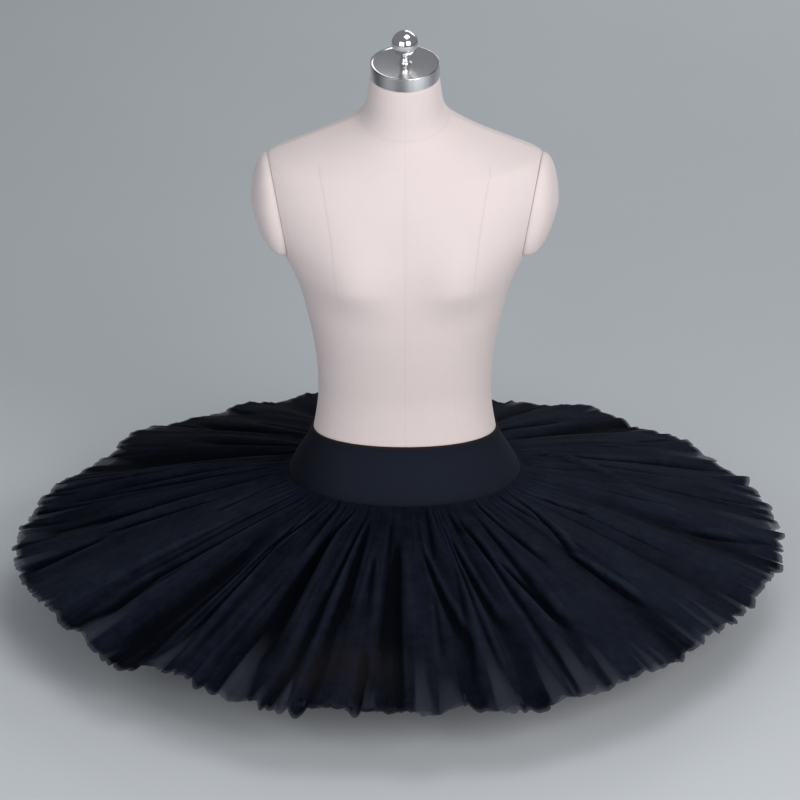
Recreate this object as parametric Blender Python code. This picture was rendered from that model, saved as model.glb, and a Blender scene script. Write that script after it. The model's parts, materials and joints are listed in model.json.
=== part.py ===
"""A practice tutu on a limbless dress form, in metres, +Z up.

The form stands on its flat base board at z = 0, and its front faces -Y. The tutu is a wide
waistband, a hip yoke under it, and six gathered layers of net that are sewn to the yoke one
below the other and spread into a drooping plate.
"""
import math

import bmesh
import bpy
import numpy as np
from mathutils import Matrix

SEAM_GAP = 0.0003            # clearance between pieces that meet face to face
AROUND = 48                  # points in each ring of the form, the band and the yoke

# The dress form. Heights are those of a ring at its two sides; a ring may dip towards the
# front and rise towards the back, as the neck seam does.
FORM_COLUMNS = ("height", "half_width", "centre", "front", "back", "dip", "rise", "square")
FORM_SECTIONS = (
    # height half_width centre  front   back    dip     rise    square
    (0.0083, 0.1490, 0.0020, 0.0990, 0.1070, 0.0000, 0.0000, 2.00),    # underside
    (0.0600, 0.1565, 0.0020, 0.1030, 0.1140, 0.0000, 0.0000, 2.00),
    (0.1150, 0.1570, 0.0010, 0.1060, 0.1170, 0.0000, 0.0000, 2.00),    # fullest hip
    (0.1900, 0.1437, 0.0000, 0.1067, 0.1067, 0.0000, 0.0000, 2.00),    # lower edge of the band
    (0.2500, 0.1147, 0.0000, 0.0815, 0.0835, 0.0000, 0.0000, 2.00),    # upper edge of the band
    (0.3050, 0.1082, 0.0000, 0.0775, 0.0760, 0.0000, 0.0000, 2.05),    # waist
    (0.3400, 0.1098, 0.0000, 0.0810, 0.0790, 0.0000, 0.0000, 2.10),
    (0.3770, 0.1145, 0.0000, 0.0870, 0.0850, 0.0000, 0.0000, 2.15),
    (0.4090, 0.1210, 0.0000, 0.0920, 0.0895, 0.0000, 0.0000, 2.20),
    (0.4490, 0.1310, 0.0000, 0.0955, 0.0930, 0.0000, 0.0000, 2.25),
    (0.4890, 0.1485, 0.0000, 0.0960, 0.0950, 0.0000, 0.0000, 2.30),    # armpit
    (0.5300, 0.1680, 0.0010, 0.0930, 0.0960, 0.0000, 0.0000, 2.35),
    (0.5650, 0.1760, 0.0020, 0.0880, 0.0940, 0.0020, 0.0000, 2.30),
    (0.5950, 0.1770, 0.0030, 0.0810, 0.0850, 0.0075, 0.0000, 2.10),
    (0.6160, 0.1680, 0.0040, 0.0755, 0.0740, 0.0145, 0.0000, 1.90),    # shoulder point
    (0.6280, 0.1430, 0.0040, 0.0718, 0.0640, 0.0195, 0.0010, 1.80),
    (0.6410, 0.1096, 0.0040, 0.0665, 0.0540, 0.0225, 0.0030, 1.75),
    (0.6530, 0.0810, 0.0035, 0.0595, 0.0490, 0.0220, 0.0050, 1.80),
    (0.6670, 0.0560, 0.0020, 0.0508, 0.0465, 0.0200, 0.0070, 1.95),    # neck seam
    (0.6830, 0.0470, -0.0010, 0.0465, 0.0450, 0.0165, 0.0080, 2.00),
    (0.7010, 0.0442, -0.0050, 0.0440, 0.0430, 0.0110, 0.0080, 2.00),
    (0.7196, 0.0418, -0.0085, 0.0412, 0.0412, 0.0073, 0.0073, 2.00),   # under the neck cap
)
FORM_RINGS = 40

BUST_X = 0.066               # from the centre front to each apex
BUST_HEIGHT = 0.474
BUST_DEPTH = 0.014
BUST_HALF_WIDTH = 0.043
BUST_ABOVE = 0.062           # how far the fullness runs up, and how short it is below
BUST_BELOW = 0.031

ARMHOLE_LOW = (0.1475, 0.4980)       # x and height of the armhole plane at the armpit
ARMHOLE_HIGH = (0.1675, 0.6160)      # and at the shoulder point
ARMHOLE_TURN = 0.10                  # the plane faces forward a little: x gained for each y
ARMHOLE_MIDDLE_Y = 0.0030
SHOULDER_CAP_REACH = 0.0310
SHOULDER_CAP_SLOPE = 0.30            # how much flatter the cap is at its top than its middle
SHOULDER_CAP_AROUND = 24
SHOULDER_CAP_RINGS = 6

NECK_TILT = math.radians(10.0)       # the neck leans forward, and the cap with it
NECK_CAP_RADIUS = 0.0420
NECK_CAP_HEIGHT = 0.0176
NECK_CAP_CENTRE = (0.0, -0.0085, 0.7200)
BALL_RADIUS = 0.0162
BALL_CENTRE = 0.0260                 # above the top face of the neck cap
STEM_RADIUS = 0.0052

BASE_BOARD_THICKNESS = 0.0080
BASE_BOARD_MARGIN = 0.0020           # how far the board stays inside the form's edge

# The cloth.
BAND_CLEARANCE = 0.0008              # between the form and the knit
BAND_WALL = 0.0020
BAND_LOW = 0.1900
BAND_HIGH = 0.2500
BAND_FRONT_RISE = 0.0065             # the upper edge is a little higher in front
BAND_ROWS = 4

YOKE_WALL = 0.0015
YOKE_LOW = 0.1000

NET_LAYERS = 6
NET_AROUND = 72
NET_WALL = 0.0015
NET_TOP = 0.1850                     # where the uppermost layer is sewn on
NET_STEP = 0.0085                    # from one seam to the next one down
NET_EDGE_GAP = 0.0006                # between the yoke and the sewn edge
NET_HIP = (0.1470, 0.1100)           # half width and half depth at the seam
NET_REACH = 0.3430                   # of the uppermost layer, measured level
NET_SHORTER = 0.0100                 # each layer below is this much shorter

# How the plate falls and how its folds deepen from the seam to the rim.
PLATE_COLUMNS = ("out", "fall", "spacing", "pleat", "fold")
PLATE_STATIONS = (
    # out    fall    spacing pleat   fold
    (0.0000, 0.0000, 0.0085, 0.0000, 0.00),
    (0.0800, 0.0180, 0.0075, 0.0030, 0.45),
    (0.2000, 0.0510, 0.0062, 0.0062, 0.85),
    (0.3430, 0.0970, 0.0052, 0.0090, 1.00),
)

PLEATS = 18
RIM_WAVE = 0.0050                    # how far each pleat moves the rim out or in

# The largest folds, as troughs. Angles go round from +X through the back to the front.
FOLD_COLUMNS = ("angle", "half_width", "depth")
FOLDS = (
    (50.0, 6.0, 0.010),
    (75.0, 5.0, 0.008),
    (98.0, 6.0, 0.010),
    (121.0, 5.0, 0.008),
    (151.0, 10.0, 0.015),
    (181.0, 6.0, 0.008),
    (211.0, 6.0, 0.007),
    (222.0, 7.0, 0.013),
    (243.0, 7.0, 0.015),
    (256.0, 5.0, 0.007),
    (267.0, 6.0, 0.011),
    (280.0, 5.0, 0.008),
    (290.0, 5.0, 0.007),
    (300.0, 5.0, 0.006),
    (317.0, 6.0, 0.008),
    (350.0, 6.0, 0.006),
)

# The rim is not a true oval: how far it stands out or in at each angle.
RIM_COLUMNS = ("angle", "extra")
RIM_OUTLINE = (
    (0.0, -0.010),
    (30.0, -0.006),
    (55.0, 0.008),
    (75.0, -0.006),
    (105.0, 0.016),
    (130.0, 0.018),
    (155.0, 0.004),
    (180.0, 0.008),
    (210.0, -0.006),
    (240.0, -0.008),
    (270.0, -0.002),
    (300.0, -0.002),
    (330.0, -0.014),
)


def column(rows, columns, name):
    """One named column of a table, as an array."""
    place = columns.index(name)
    return np.array([row[place] for row in rows])


def monotone_slopes(xs, ys):
    """Slopes for a smooth curve through the points that never overshoots them."""
    steps = np.diff(xs)
    rates = np.diff(ys) / steps
    slopes = np.zeros(len(xs))
    slopes[0] = rates[0]
    slopes[-1] = rates[-1]
    for i in range(1, len(xs) - 1):
        if rates[i - 1] * rates[i] > 0.0:
            before = 2.0 * steps[i] + steps[i - 1]
            after = steps[i] + 2.0 * steps[i - 1]
            slopes[i] = (before + after) / (before / rates[i - 1] + after / rates[i])
    return slopes


def smooth_value(xs, ys, slopes, x):
    """Read a cubic curve at x, from its points and slopes."""
    i = int(np.clip(np.searchsorted(xs, x) - 1, 0, len(xs) - 2))
    step = xs[i + 1] - xs[i]
    t = (x - xs[i]) / step
    start = (1.0 + 2.0 * t) * (1.0 - t) ** 2 * ys[i] + t * (1.0 - t) ** 2 * step * slopes[i]
    end = t * t * (3.0 - 2.0 * t) * ys[i + 1] + t * t * (t - 1.0) * step * slopes[i + 1]
    return float(start + end)


FORM_HEIGHTS = column(FORM_SECTIONS, FORM_COLUMNS, "height")
FORM_CURVES = {}
for form_column in FORM_COLUMNS[1:]:
    values = column(FORM_SECTIONS, FORM_COLUMNS, form_column)
    FORM_CURVES[form_column] = (values, monotone_slopes(FORM_HEIGHTS, values))


def form_section(height):
    """Half width, depths and the rest of the form's section at a side height."""
    section = {}
    for name, (ys, slopes) in FORM_CURVES.items():
        section[name] = smooth_value(FORM_HEIGHTS, ys, slopes, height)
    return section


def signed_power(value, power):
    return math.copysign(abs(value) ** power, value)


def bust_fullness(x, height):
    """How far the bust stands forward of the plain section."""
    reach = BUST_ABOVE if height > BUST_HEIGHT else BUST_BELOW
    total = 0.0
    for side in (-1.0, 1.0):
        across = (x - side * BUST_X) / BUST_HALF_WIDTH
        along = (height - BUST_HEIGHT) / reach
        total += BUST_DEPTH * math.exp(-across * across - along * along)
    return total


def form_point(height, angle, outward=0.0):
    """A point of the form's surface, or of cloth that lies outward of it."""
    section = form_section(height)
    in_front = math.sin(angle) < 0.0
    square = max(section["square"], 2.0) if in_front else section["square"]
    power = 2.0 / square
    across = signed_power(math.cos(angle), power)
    along = signed_power(math.sin(angle), power)
    depth = section["front"] if in_front else section["back"]
    lift = section["dip"] if in_front else section["rise"]
    x = (section["half_width"] + outward) * across
    y = section["centre"] + (depth + outward) * along
    z = height + lift * along
    if in_front:
        y -= bust_fullness(x, z) * min(1.0, -2.0 * along)
    return np.array((x, y, z))


def armhole_limit(y, height):
    """The x of the armhole plane at a place on it."""
    run = (ARMHOLE_HIGH[0] - ARMHOLE_LOW[0]) / (ARMHOLE_HIGH[1] - ARMHOLE_LOW[1])
    return ARMHOLE_LOW[0] + run * (height - ARMHOLE_LOW[1]) + ARMHOLE_TURN * y


def ring_angles(count):
    return [2.0 * math.pi * i / count for i in range(count)]


def plain_material(name, colour, roughness, metallic=0.0):
    """A Principled material with one colour, kept plain for the construction model."""
    material = bpy.data.materials.new(name)
    material.use_nodes = True
    shader = material.node_tree.nodes["Principled BSDF"]
    shader.inputs["Base Color"].default_value = (*colour, 1.0)
    shader.inputs["Roughness"].default_value = roughness
    shader.inputs["Metallic"].default_value = metallic
    material.diffuse_color = (*colour, 1.0)
    return material


def add_object(name, points, faces, material, sharp_angle=50.0):
    """Make a named object from points and faces, with its faces turned outwards."""
    mesh = bpy.data.meshes.new(name)
    mesh.from_pydata([tuple(point) for point in points], [], faces)
    shape = bmesh.new()
    shape.from_mesh(mesh)
    bmesh.ops.recalc_face_normals(shape, faces=shape.faces)
    if shape.calc_volume(signed=True) < 0.0:
        bmesh.ops.reverse_faces(shape, faces=shape.faces)
    shape.to_mesh(mesh)
    shape.free()
    mesh.shade_smooth()
    mesh.set_sharp_from_angle(angle=math.radians(sharp_angle))
    mesh.materials.append(material)
    piece = bpy.data.objects.new(name, mesh)
    bpy.context.scene.collection.objects.link(piece)
    return piece


def grid_triangles(rows, around, first=0, reverse=False):
    """Triangles over a grid of closed rings, all split along the same diagonal."""
    triangles = []
    for row in range(rows - 1):
        for i in range(around):
            here = first + row * around + i
            beside = first + row * around + (i + 1) % around
            above = here + around
            corner = beside + around
            pair = [(here, beside, corner), (here, corner, above)]
            triangles += [face[::-1] for face in pair] if reverse else pair
    return triangles


def add_wall(name, face_rings, back_rings, material):
    """A thin closed wall between a grid of rings and the same grid moved through the wall."""
    rows = len(face_rings)
    around = len(face_rings[0])
    points = [point for ring in face_rings + back_rings for point in ring]
    behind = rows * around
    faces = grid_triangles(rows, around)
    faces += grid_triangles(rows, around, first=behind, reverse=True)
    for row, turn in ((0, False), (rows - 1, True)):
        for i in range(around):
            a = row * around + i
            b = row * around + (i + 1) % around
            edge = (a, b, b + behind, a + behind)
            faces.append(edge if turn else edge[::-1])
    return add_object(name, points, faces, material)


def add_solid(name, rings, material, sharp_angle=50.0):
    """A solid through closed rings, with a flat face at each end."""
    around = len(rings[0])
    points = [point for ring in rings for point in ring]
    faces = grid_triangles(len(rings), around)
    last = (len(rings) - 1) * around
    faces.append(tuple(range(around))[::-1])
    faces.append(tuple(last + i for i in range(around)))
    return add_object(name, points, faces, material, sharp_angle)


def add_turned(name, profile, around, place, material, sharp_angle=35.0):
    """Turn a profile of (radius, height) pairs round its axis and set it at its place.

    A pair with no radius is a pole, which one point closes.
    """
    points = []
    rings = []
    for radius, height in profile:
        if radius == 0.0:
            rings.append([len(points)] * around)
            points.append(np.array((0.0, 0.0, height)))
            continue
        rings.append([len(points) + i for i in range(around)])
        for angle in ring_angles(around):
            points.append(np.array((radius * math.cos(angle), radius * math.sin(angle), height)))
    faces = []
    for lower, upper in zip(rings, rings[1:]):
        for i in range(around):
            j = (i + 1) % around
            corners = (lower[i], lower[j], upper[j], upper[i])
            faces.append(tuple(dict.fromkeys(corners)))
    placed = [place @ Matrix.Translation(tuple(point)) for point in points]
    return add_object(name, [spot.translation for spot in placed], faces, material, sharp_angle)


def build_form_torso(material):
    """The torso and neck in one piece, cut flat at each armhole."""
    heights = np.linspace(FORM_HEIGHTS[0], FORM_HEIGHTS[-1], FORM_RINGS)
    rings = []
    for height in heights:
        ring = []
        for angle in ring_angles(AROUND):
            point = form_point(height, angle)
            if ARMHOLE_LOW[1] < point[2] < ARMHOLE_HIGH[1]:
                limit = armhole_limit(point[1], point[2])
                point[0] = float(np.clip(point[0], -limit, limit))
            ring.append(point)
        rings.append(ring)
    return add_solid("form_torso", rings, material)


def inside_armhole(y, height):
    """Whether the plain section reaches past the armhole plane there."""
    section = form_section(height)
    depth = section["front"] if y < section["centre"] else section["back"]
    share = abs(y - section["centre"]) / depth
    if share >= 1.0:
        return False
    width = section["half_width"] * (1.0 - share ** section["square"]) ** (1.0 / section["square"])
    return width > armhole_limit(y, height)


def armhole_outline(count):
    """The edge of the flat armhole, as (y, height) offsets from its middle."""
    middle = 0.5 * (ARMHOLE_LOW[1] + ARMHOLE_HIGH[1])
    outline = []
    for angle in ring_angles(count):
        near = 0.0
        far = 0.090
        for _ in range(24):
            reach = 0.5 * (near + far)
            height = middle + reach * math.sin(angle)
            within = ARMHOLE_LOW[1] < height < ARMHOLE_HIGH[1]
            y = ARMHOLE_MIDDLE_Y + reach * math.cos(angle)
            if within and inside_armhole(y, height):
                near = reach
            else:
                far = reach
        outline.append((near * math.cos(angle), near * math.sin(angle)))
    return outline


def build_shoulder_cap(side, name, material):
    """A stuffed round cap that closes one armhole, domed outwards from its flat back."""
    middle = 0.5 * (ARMHOLE_LOW[1] + ARMHOLE_HIGH[1])
    half = 0.5 * (ARMHOLE_HIGH[1] - ARMHOLE_LOW[1])
    run = (ARMHOLE_HIGH[0] - ARMHOLE_LOW[0]) / (ARMHOLE_HIGH[1] - ARMHOLE_LOW[1])
    outwards = np.array((1.0, -ARMHOLE_TURN, -run))
    outwards /= np.linalg.norm(outwards)
    outline = armhole_outline(SHOULDER_CAP_AROUND)
    rings = []
    for ring_number in range(SHOULDER_CAP_RINGS):
        turn = 0.5 * math.pi * ring_number / SHOULDER_CAP_RINGS
        share = math.cos(turn)
        reach = SHOULDER_CAP_REACH * math.sin(turn) ** 0.8
        ring = []
        for across, above in outline:
            y = ARMHOLE_MIDDLE_Y + share * across
            height = middle + share * above
            flat = np.array((armhole_limit(y, height), y, height))
            flatter = 1.0 - SHOULDER_CAP_SLOPE * max(0.0, share * above / half)
            point = flat + (reach * flatter + 2.0 * SEAM_GAP) * outwards
            point[0] *= side
            ring.append(point)
        rings.append(ring)
    return add_solid(name, rings, material)


def neck_place(above):
    """The matrix of a turned piece that stands on the leaning neck, a distance above it."""
    lean = Matrix.Translation(NECK_CAP_CENTRE) @ Matrix.Rotation(NECK_TILT, 4, "X")
    return lean @ Matrix.Translation((0.0, 0.0, above))


def build_neck_cap(material):
    """A metal cap with a narrow lip and a shallow dished top."""
    lip = 0.0022
    dish = 0.0010
    bevel = 0.0008
    profile = [
        (0.0, 0.0),
        (NECK_CAP_RADIUS, 0.0),
        (NECK_CAP_RADIUS, NECK_CAP_HEIGHT - bevel),
        (NECK_CAP_RADIUS - bevel, NECK_CAP_HEIGHT),
        (NECK_CAP_RADIUS - lip, NECK_CAP_HEIGHT),
        (NECK_CAP_RADIUS - lip - dish, NECK_CAP_HEIGHT - dish),
        (0.0, NECK_CAP_HEIGHT - dish),
    ]
    return add_turned("neck_cap", profile, 48, neck_place(0.0), material)


def build_finial(material):
    """A short waisted stem with a ball on it, turned in one piece."""
    foot = NECK_CAP_HEIGHT - 0.0010 + SEAM_GAP
    centre = NECK_CAP_HEIGHT + BALL_CENTRE
    profile = [
        (0.0, foot),
        (STEM_RADIUS * 1.55, foot),
        (STEM_RADIUS * 1.15, foot + 0.0022),
        (STEM_RADIUS, foot + 0.0045),
    ]
    start = math.asin(STEM_RADIUS / BALL_RADIUS)
    for step in range(11):
        turn = start + (math.pi - start) * step / 10.0
        radius = 0.0 if step == 10 else BALL_RADIUS * math.sin(turn)
        profile.append((radius, centre - BALL_RADIUS * math.cos(turn)))
    return add_turned("finial", profile, 28, neck_place(0.0), material)


def build_base_board(material):
    """The flat board that closes the form's underside and rests on the table."""
    inset = -BASE_BOARD_MARGIN
    rings = []
    for height in (0.0, BASE_BOARD_THICKNESS):
        ring = []
        for angle in ring_angles(AROUND):
            point = form_point(FORM_HEIGHTS[0], angle, inset)
            ring.append(np.array((point[0], point[1], height)))
        rings.append(ring)
    return add_solid("base_board", rings, material)


def cloth_rings(low, high, rows, outward, front_rise=0.0):
    """Rings of cloth that follow the form between two heights."""
    rings = []
    for row in range(rows):
        share = row / (rows - 1)
        ring = []
        for angle in ring_angles(AROUND):
            lift = front_rise * max(0.0, -math.sin(angle)) ** 1.5
            height = low + (high + lift - low) * share
            ring.append(form_point(height, angle, outward))
        rings.append(ring)
    return rings


def build_waistband(material):
    """The wide stretch band, one tube that widens down to the hip."""
    shape = (BAND_LOW, BAND_HIGH, BAND_ROWS)
    outer = cloth_rings(*shape, BAND_CLEARANCE + BAND_WALL, BAND_FRONT_RISE)
    inner = cloth_rings(*shape, BAND_CLEARANCE, BAND_FRONT_RISE)
    return add_wall("waistband", outer, inner, material)


def build_hip_yoke(material):
    """The plain yoke below the band, which carries the net."""
    shape = (YOKE_LOW, BAND_LOW - 2.0 * SEAM_GAP, 4)
    outer = cloth_rings(*shape, BAND_CLEARANCE + YOKE_WALL)
    inner = cloth_rings(*shape, BAND_CLEARANCE)
    return add_wall("hip_yoke", outer, inner, material)


def plate_value(name, out):
    """Read one column of the plate's table at a distance out from the seam.

    The last stretch runs on straight past the table's end, for the longest parts of the rim.
    """
    outs = column(PLATE_STATIONS, PLATE_COLUMNS, "out")
    values = column(PLATE_STATIONS, PLATE_COLUMNS, name)
    if out > outs[-1]:
        rate = (values[-1] - values[-2]) / (outs[-1] - outs[-2])
        return float(values[-1] + rate * (out - outs[-1]))
    return float(np.interp(out, outs, values))


def pleat_wave(angle):
    """The regular pleats, from -1 to 1, a little uneven in width and height."""
    wander = 0.9 * math.sin(3.0 * angle + 0.6) + 0.5 * math.sin(5.0 * angle + 2.0)
    strength = 0.75 + 0.25 * math.sin(2.0 * angle + 1.0)
    return strength * math.cos(PLEATS * angle + wander)


def fold_drop(angle):
    """How deep the largest folds are at an angle, at the rim."""
    degrees = math.degrees(angle)
    drop = 0.0
    for centre, half_width, depth in FOLDS:
        off = abs((degrees - centre + 180.0) % 360.0 - 180.0) / half_width
        if off < 1.0:
            drop += depth * 0.5 * (1.0 + math.cos(math.pi * off))
    return drop


def rim_extra(angle):
    """How far the rim stands out or in at an angle."""
    angles = column(RIM_OUTLINE, RIM_COLUMNS, "angle")
    extras = column(RIM_OUTLINE, RIM_COLUMNS, "extra")
    return float(np.interp(math.degrees(angle), angles, extras, period=360.0))


def plate_point(layer, angle, out):
    """A point on the upper side of a net layer."""
    height = NET_TOP - plate_value("fall", out) - layer * plate_value("spacing", out)
    height += plate_value("pleat", out) * pleat_wave(angle)
    height -= plate_value("fold", out) * fold_drop(angle)
    x = (NET_HIP[0] + out) * math.cos(angle)
    y = (NET_HIP[1] + out) * math.sin(angle)
    return np.array((x, y, height))


def build_net_layer(layer, material):
    """One gathered layer of net, from its seam on the yoke to its wavy rim."""
    seam_height = NET_TOP - layer * NET_STEP
    outward = BAND_CLEARANCE + YOKE_WALL + NET_EDGE_GAP
    angles = ring_angles(NET_AROUND)
    rings = [[form_point(seam_height, angle, outward) for angle in angles]]
    for out in column(PLATE_STATIONS, PLATE_COLUMNS, "out")[1:-1]:
        rings.append([plate_point(layer, angle, out) for angle in angles])
    rim = []
    for angle in angles:
        wave = RIM_WAVE * pleat_wave(angle)
        reach = NET_REACH - layer * NET_SHORTER + rim_extra(angle) + wave
        rim.append(plate_point(layer, angle, reach))
    rings.append(rim)
    below = [[point - np.array((0.0, 0.0, NET_WALL)) for point in ring] for ring in rings]
    return add_wall("net_layer_%d" % (layer + 1), rings, below, material)


def clear_scene():
    for item in list(bpy.data.objects):
        bpy.data.objects.remove(item, do_unlink=True)


def main():
    clear_scene()
    linen = plain_material("linen", (0.78, 0.69, 0.64), 0.85)
    chrome = plain_material("chrome", (0.55, 0.55, 0.56), 0.12, 1.0)
    board = plain_material("board", (0.42, 0.31, 0.20), 0.60)
    knit = plain_material("knit", (0.010, 0.012, 0.018), 0.80)
    yoke = plain_material("yoke_knit", (0.012, 0.013, 0.018), 0.85)
    net = plain_material("net", (0.012, 0.014, 0.022), 0.70)

    build_form_torso(linen)
    build_shoulder_cap(-1.0, "shoulder_cap_right", linen)
    build_shoulder_cap(1.0, "shoulder_cap_left", linen)
    build_neck_cap(chrome)
    build_finial(chrome)
    build_base_board(board)
    build_waistband(knit)
    build_hip_yoke(yoke)
    for layer in range(NET_LAYERS):
        build_net_layer(layer, net)


main()
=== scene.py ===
# %% [markdown]
# # A practice tutu on a dress form
#
# A flat, stiff tutu is six gathered rings of net sewn one below the other to a hip yoke, with a
# wide stretch band above them. Here it is shown on the limbless linen form that it is stored on.
# The construction model is loaded first and never moved: every finished piece below is made on
# the shape and in the place of one of its solids, and then stands for that solid.

import json
import math

import bmesh
import bpy
import numpy as np
from mathutils import Matrix, Vector

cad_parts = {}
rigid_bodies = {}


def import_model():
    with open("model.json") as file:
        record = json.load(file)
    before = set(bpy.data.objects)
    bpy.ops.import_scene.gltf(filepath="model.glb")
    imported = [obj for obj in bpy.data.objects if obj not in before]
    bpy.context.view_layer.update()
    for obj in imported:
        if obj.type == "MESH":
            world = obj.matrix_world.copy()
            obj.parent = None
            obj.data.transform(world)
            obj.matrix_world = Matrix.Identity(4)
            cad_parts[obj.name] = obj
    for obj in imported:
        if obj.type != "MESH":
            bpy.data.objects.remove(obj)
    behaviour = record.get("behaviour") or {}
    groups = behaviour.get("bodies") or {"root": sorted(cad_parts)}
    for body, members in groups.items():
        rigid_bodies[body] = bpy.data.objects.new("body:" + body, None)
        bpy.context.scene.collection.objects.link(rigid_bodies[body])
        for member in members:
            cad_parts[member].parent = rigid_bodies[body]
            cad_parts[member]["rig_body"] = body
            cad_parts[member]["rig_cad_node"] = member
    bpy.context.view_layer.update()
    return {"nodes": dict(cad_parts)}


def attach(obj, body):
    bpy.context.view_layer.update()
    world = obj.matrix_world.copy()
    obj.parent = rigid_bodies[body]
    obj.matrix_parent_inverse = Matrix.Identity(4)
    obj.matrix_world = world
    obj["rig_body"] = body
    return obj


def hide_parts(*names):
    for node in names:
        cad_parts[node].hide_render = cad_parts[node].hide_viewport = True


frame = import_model()
print("solids:", ", ".join(sorted(frame["nodes"])))

# %% [markdown]
# ## A small kit for finishes
#
# A finish is a Principled shader with a pattern in front of it. Patterns are sums and products of
# masks, so it helps to write them as ordinary arithmetic: `Value` wraps the output of one node
# and adds a Math node for each operation, and `Finish.node` makes every other kind of node.

# %% Arithmetic on node outputs
class Value:
    """The output of a node, which arithmetic can be done on."""

    def __init__(self, finish, socket):
        self.finish = finish
        self.socket = socket

    def __add__(self, other):
        return self.finish.math("ADD", self, other)

    def __radd__(self, other):
        return self.finish.math("ADD", other, self)

    def __sub__(self, other):
        return self.finish.math("SUBTRACT", self, other)

    def __rsub__(self, other):
        return self.finish.math("SUBTRACT", other, self)

    def __mul__(self, other):
        return self.finish.math("MULTIPLY", self, other)

    def __rmul__(self, other):
        return self.finish.math("MULTIPLY", other, self)


# %% Nodes of every other kind
class Finish:
    """A material whose nodes are made in code, round one Principled shader."""

    def __init__(self, name, **constants):
        self.material = bpy.data.materials.new(name)
        self.material.use_nodes = True
        self.tree = self.material.node_tree
        self.shader = self.tree.nodes["Principled BSDF"]
        for socket, value in constants.items():
            self.shader.inputs[socket.replace("_", " ")].default_value = value

    def feed(self, socket, value):
        """Give a socket a link or a fixed value."""
        if isinstance(value, Value):
            self.tree.links.new(value.socket, socket)
        else:
            socket.default_value = value

    def node(self, kind, settings, sockets, output=0):
        """Add a node: its settings first, then its sockets' values or links."""
        made = self.tree.nodes.new(kind)
        for name, setting in settings.items():
            if name == "stops":
                ramp = made.color_ramp
                while len(ramp.elements) < len(setting):
                    ramp.elements.new(1.0)
                for element, (place, colour) in zip(ramp.elements, setting):
                    element.position = place
                    element.color = colour
            else:
                setattr(made, name, setting)
        for name, value in sockets.items():
            if isinstance(name, int):
                socket = made.inputs[name]
            else:
                socket = next(s for s in made.inputs if name in (s.identifier, s.name))
            self.feed(socket, value)
        return Value(self, made.outputs[output])

    def math(self, operation, *values, clamp=False):
        settings = {"operation": operation, "use_clamp": clamp}
        return self.node("ShaderNodeMath", settings, dict(enumerate(values)))

    def clamp(self, value):
        return self.math("ADD", value, 0.0, clamp=True)

    def attribute(self, name, output="Fac"):
        return self.node("ShaderNodeAttribute", {"attribute_name": name}, {}, output)

    def parts(self, vector):
        """The three numbers of a vector."""
        first = self.node("ShaderNodeSeparateXYZ", {}, {0: vector})
        return [Value(self, output) for output in first.socket.node.outputs]

    def place(self, stretch=(1.0, 1.0, 1.0), of=None):
        """Object coordinates, or another vector, stretched along each axis."""
        if of is None:
            of = self.node("ShaderNodeTexCoord", {}, {}, "Object")
        return self.node("ShaderNodeVectorMath", {"operation": "MULTIPLY"}, {0: of, 1: stretch})

    def noise(self, where, scale, detail=2.0, rough=0.5):
        sockets = {"Vector": where, "Scale": scale, "Detail": detail, "Roughness": rough}
        return self.node("ShaderNodeTexNoise", {}, sockets)

    def blend(self, share, low, high):
        """A colour between two others."""
        sockets = {"Factor_Float": share, "A_Color": low, "B_Color": high}
        return self.node("ShaderNodeMix", {"data_type": "RGBA"}, sockets, 2)

    def spread(self, value, low, high):
        """Where a value lies between two others, held between 0 and 1."""
        sockets = {"Value": value, "From Min": low, "From Max": high}
        return self.node("ShaderNodeMapRange", {"clamp": True}, sockets)

    def bump(self, height, distance, strength=1.0, before=None):
        sockets = {"Height": height, "Distance": distance, "Strength": strength}
        if before is not None:
            sockets["Normal"] = before
        return self.node("ShaderNodeBump", {}, sockets)

    def set(self, **sockets):
        """Feed the shader's own sockets, and hand the material over."""
        for name, value in sockets.items():
            self.feed(self.shader.inputs[name.replace("_", " ")], value)
        return self.material


def colour(red, green, blue):
    return (red, green, blue, 1.0)


# %% [markdown]
# ## Camera, floor and light
#
# The form is seen from well above its waist with a long lens, so the plate of the tutu opens into
# an oval. The light is a large soft key from the right, a broad weaker one from the left and a
# faint one overhead: the front of the form is bright, its left side falls away, and the right of
# the plate is lighter than its left. A fourth box behind lights the floor and the form's back.

# %% The camera
LOOK_AT = Vector((-0.0059, -0.0137, 0.2903))
CAMERA_DISTANCE = 4.70
CAMERA_ABOVE = math.radians(24.9)
LENS = 168.75

camera_data = bpy.data.cameras.new("camera")
camera_data.lens = LENS
camera_data.sensor_width = 36.0
camera_data.clip_end = 60.0
camera = bpy.data.objects.new("camera", camera_data)
bpy.context.scene.collection.objects.link(camera)
back = Vector((0.0, -math.cos(CAMERA_ABOVE), math.sin(CAMERA_ABOVE)))
camera.location = LOOK_AT + CAMERA_DISTANCE * back
camera.rotation_euler = (math.pi / 2.0 - CAMERA_ABOVE, 0.0, 0.0)
bpy.context.scene.camera = camera
print("camera at", tuple(round(value, 3) for value in camera.location))


# %% The lamps
LAMPS_AIM_AT = Vector((0.0, 0.0, 0.35))


def add_lamp(name, place, size, watts, tint):
    """A soft box that faces a point on the form."""
    data = bpy.data.lights.new(name, "AREA")
    data.shape = "RECTANGLE"
    data.size, data.size_y = size
    data.energy = watts
    data.color = tint
    lamp = bpy.data.objects.new(name, data)
    lamp.location = place
    towards = LAMPS_AIM_AT - Vector(place)
    lamp.rotation_euler = towards.to_track_quat("-Z", "Y").to_euler()
    bpy.context.scene.collection.objects.link(lamp)


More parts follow.
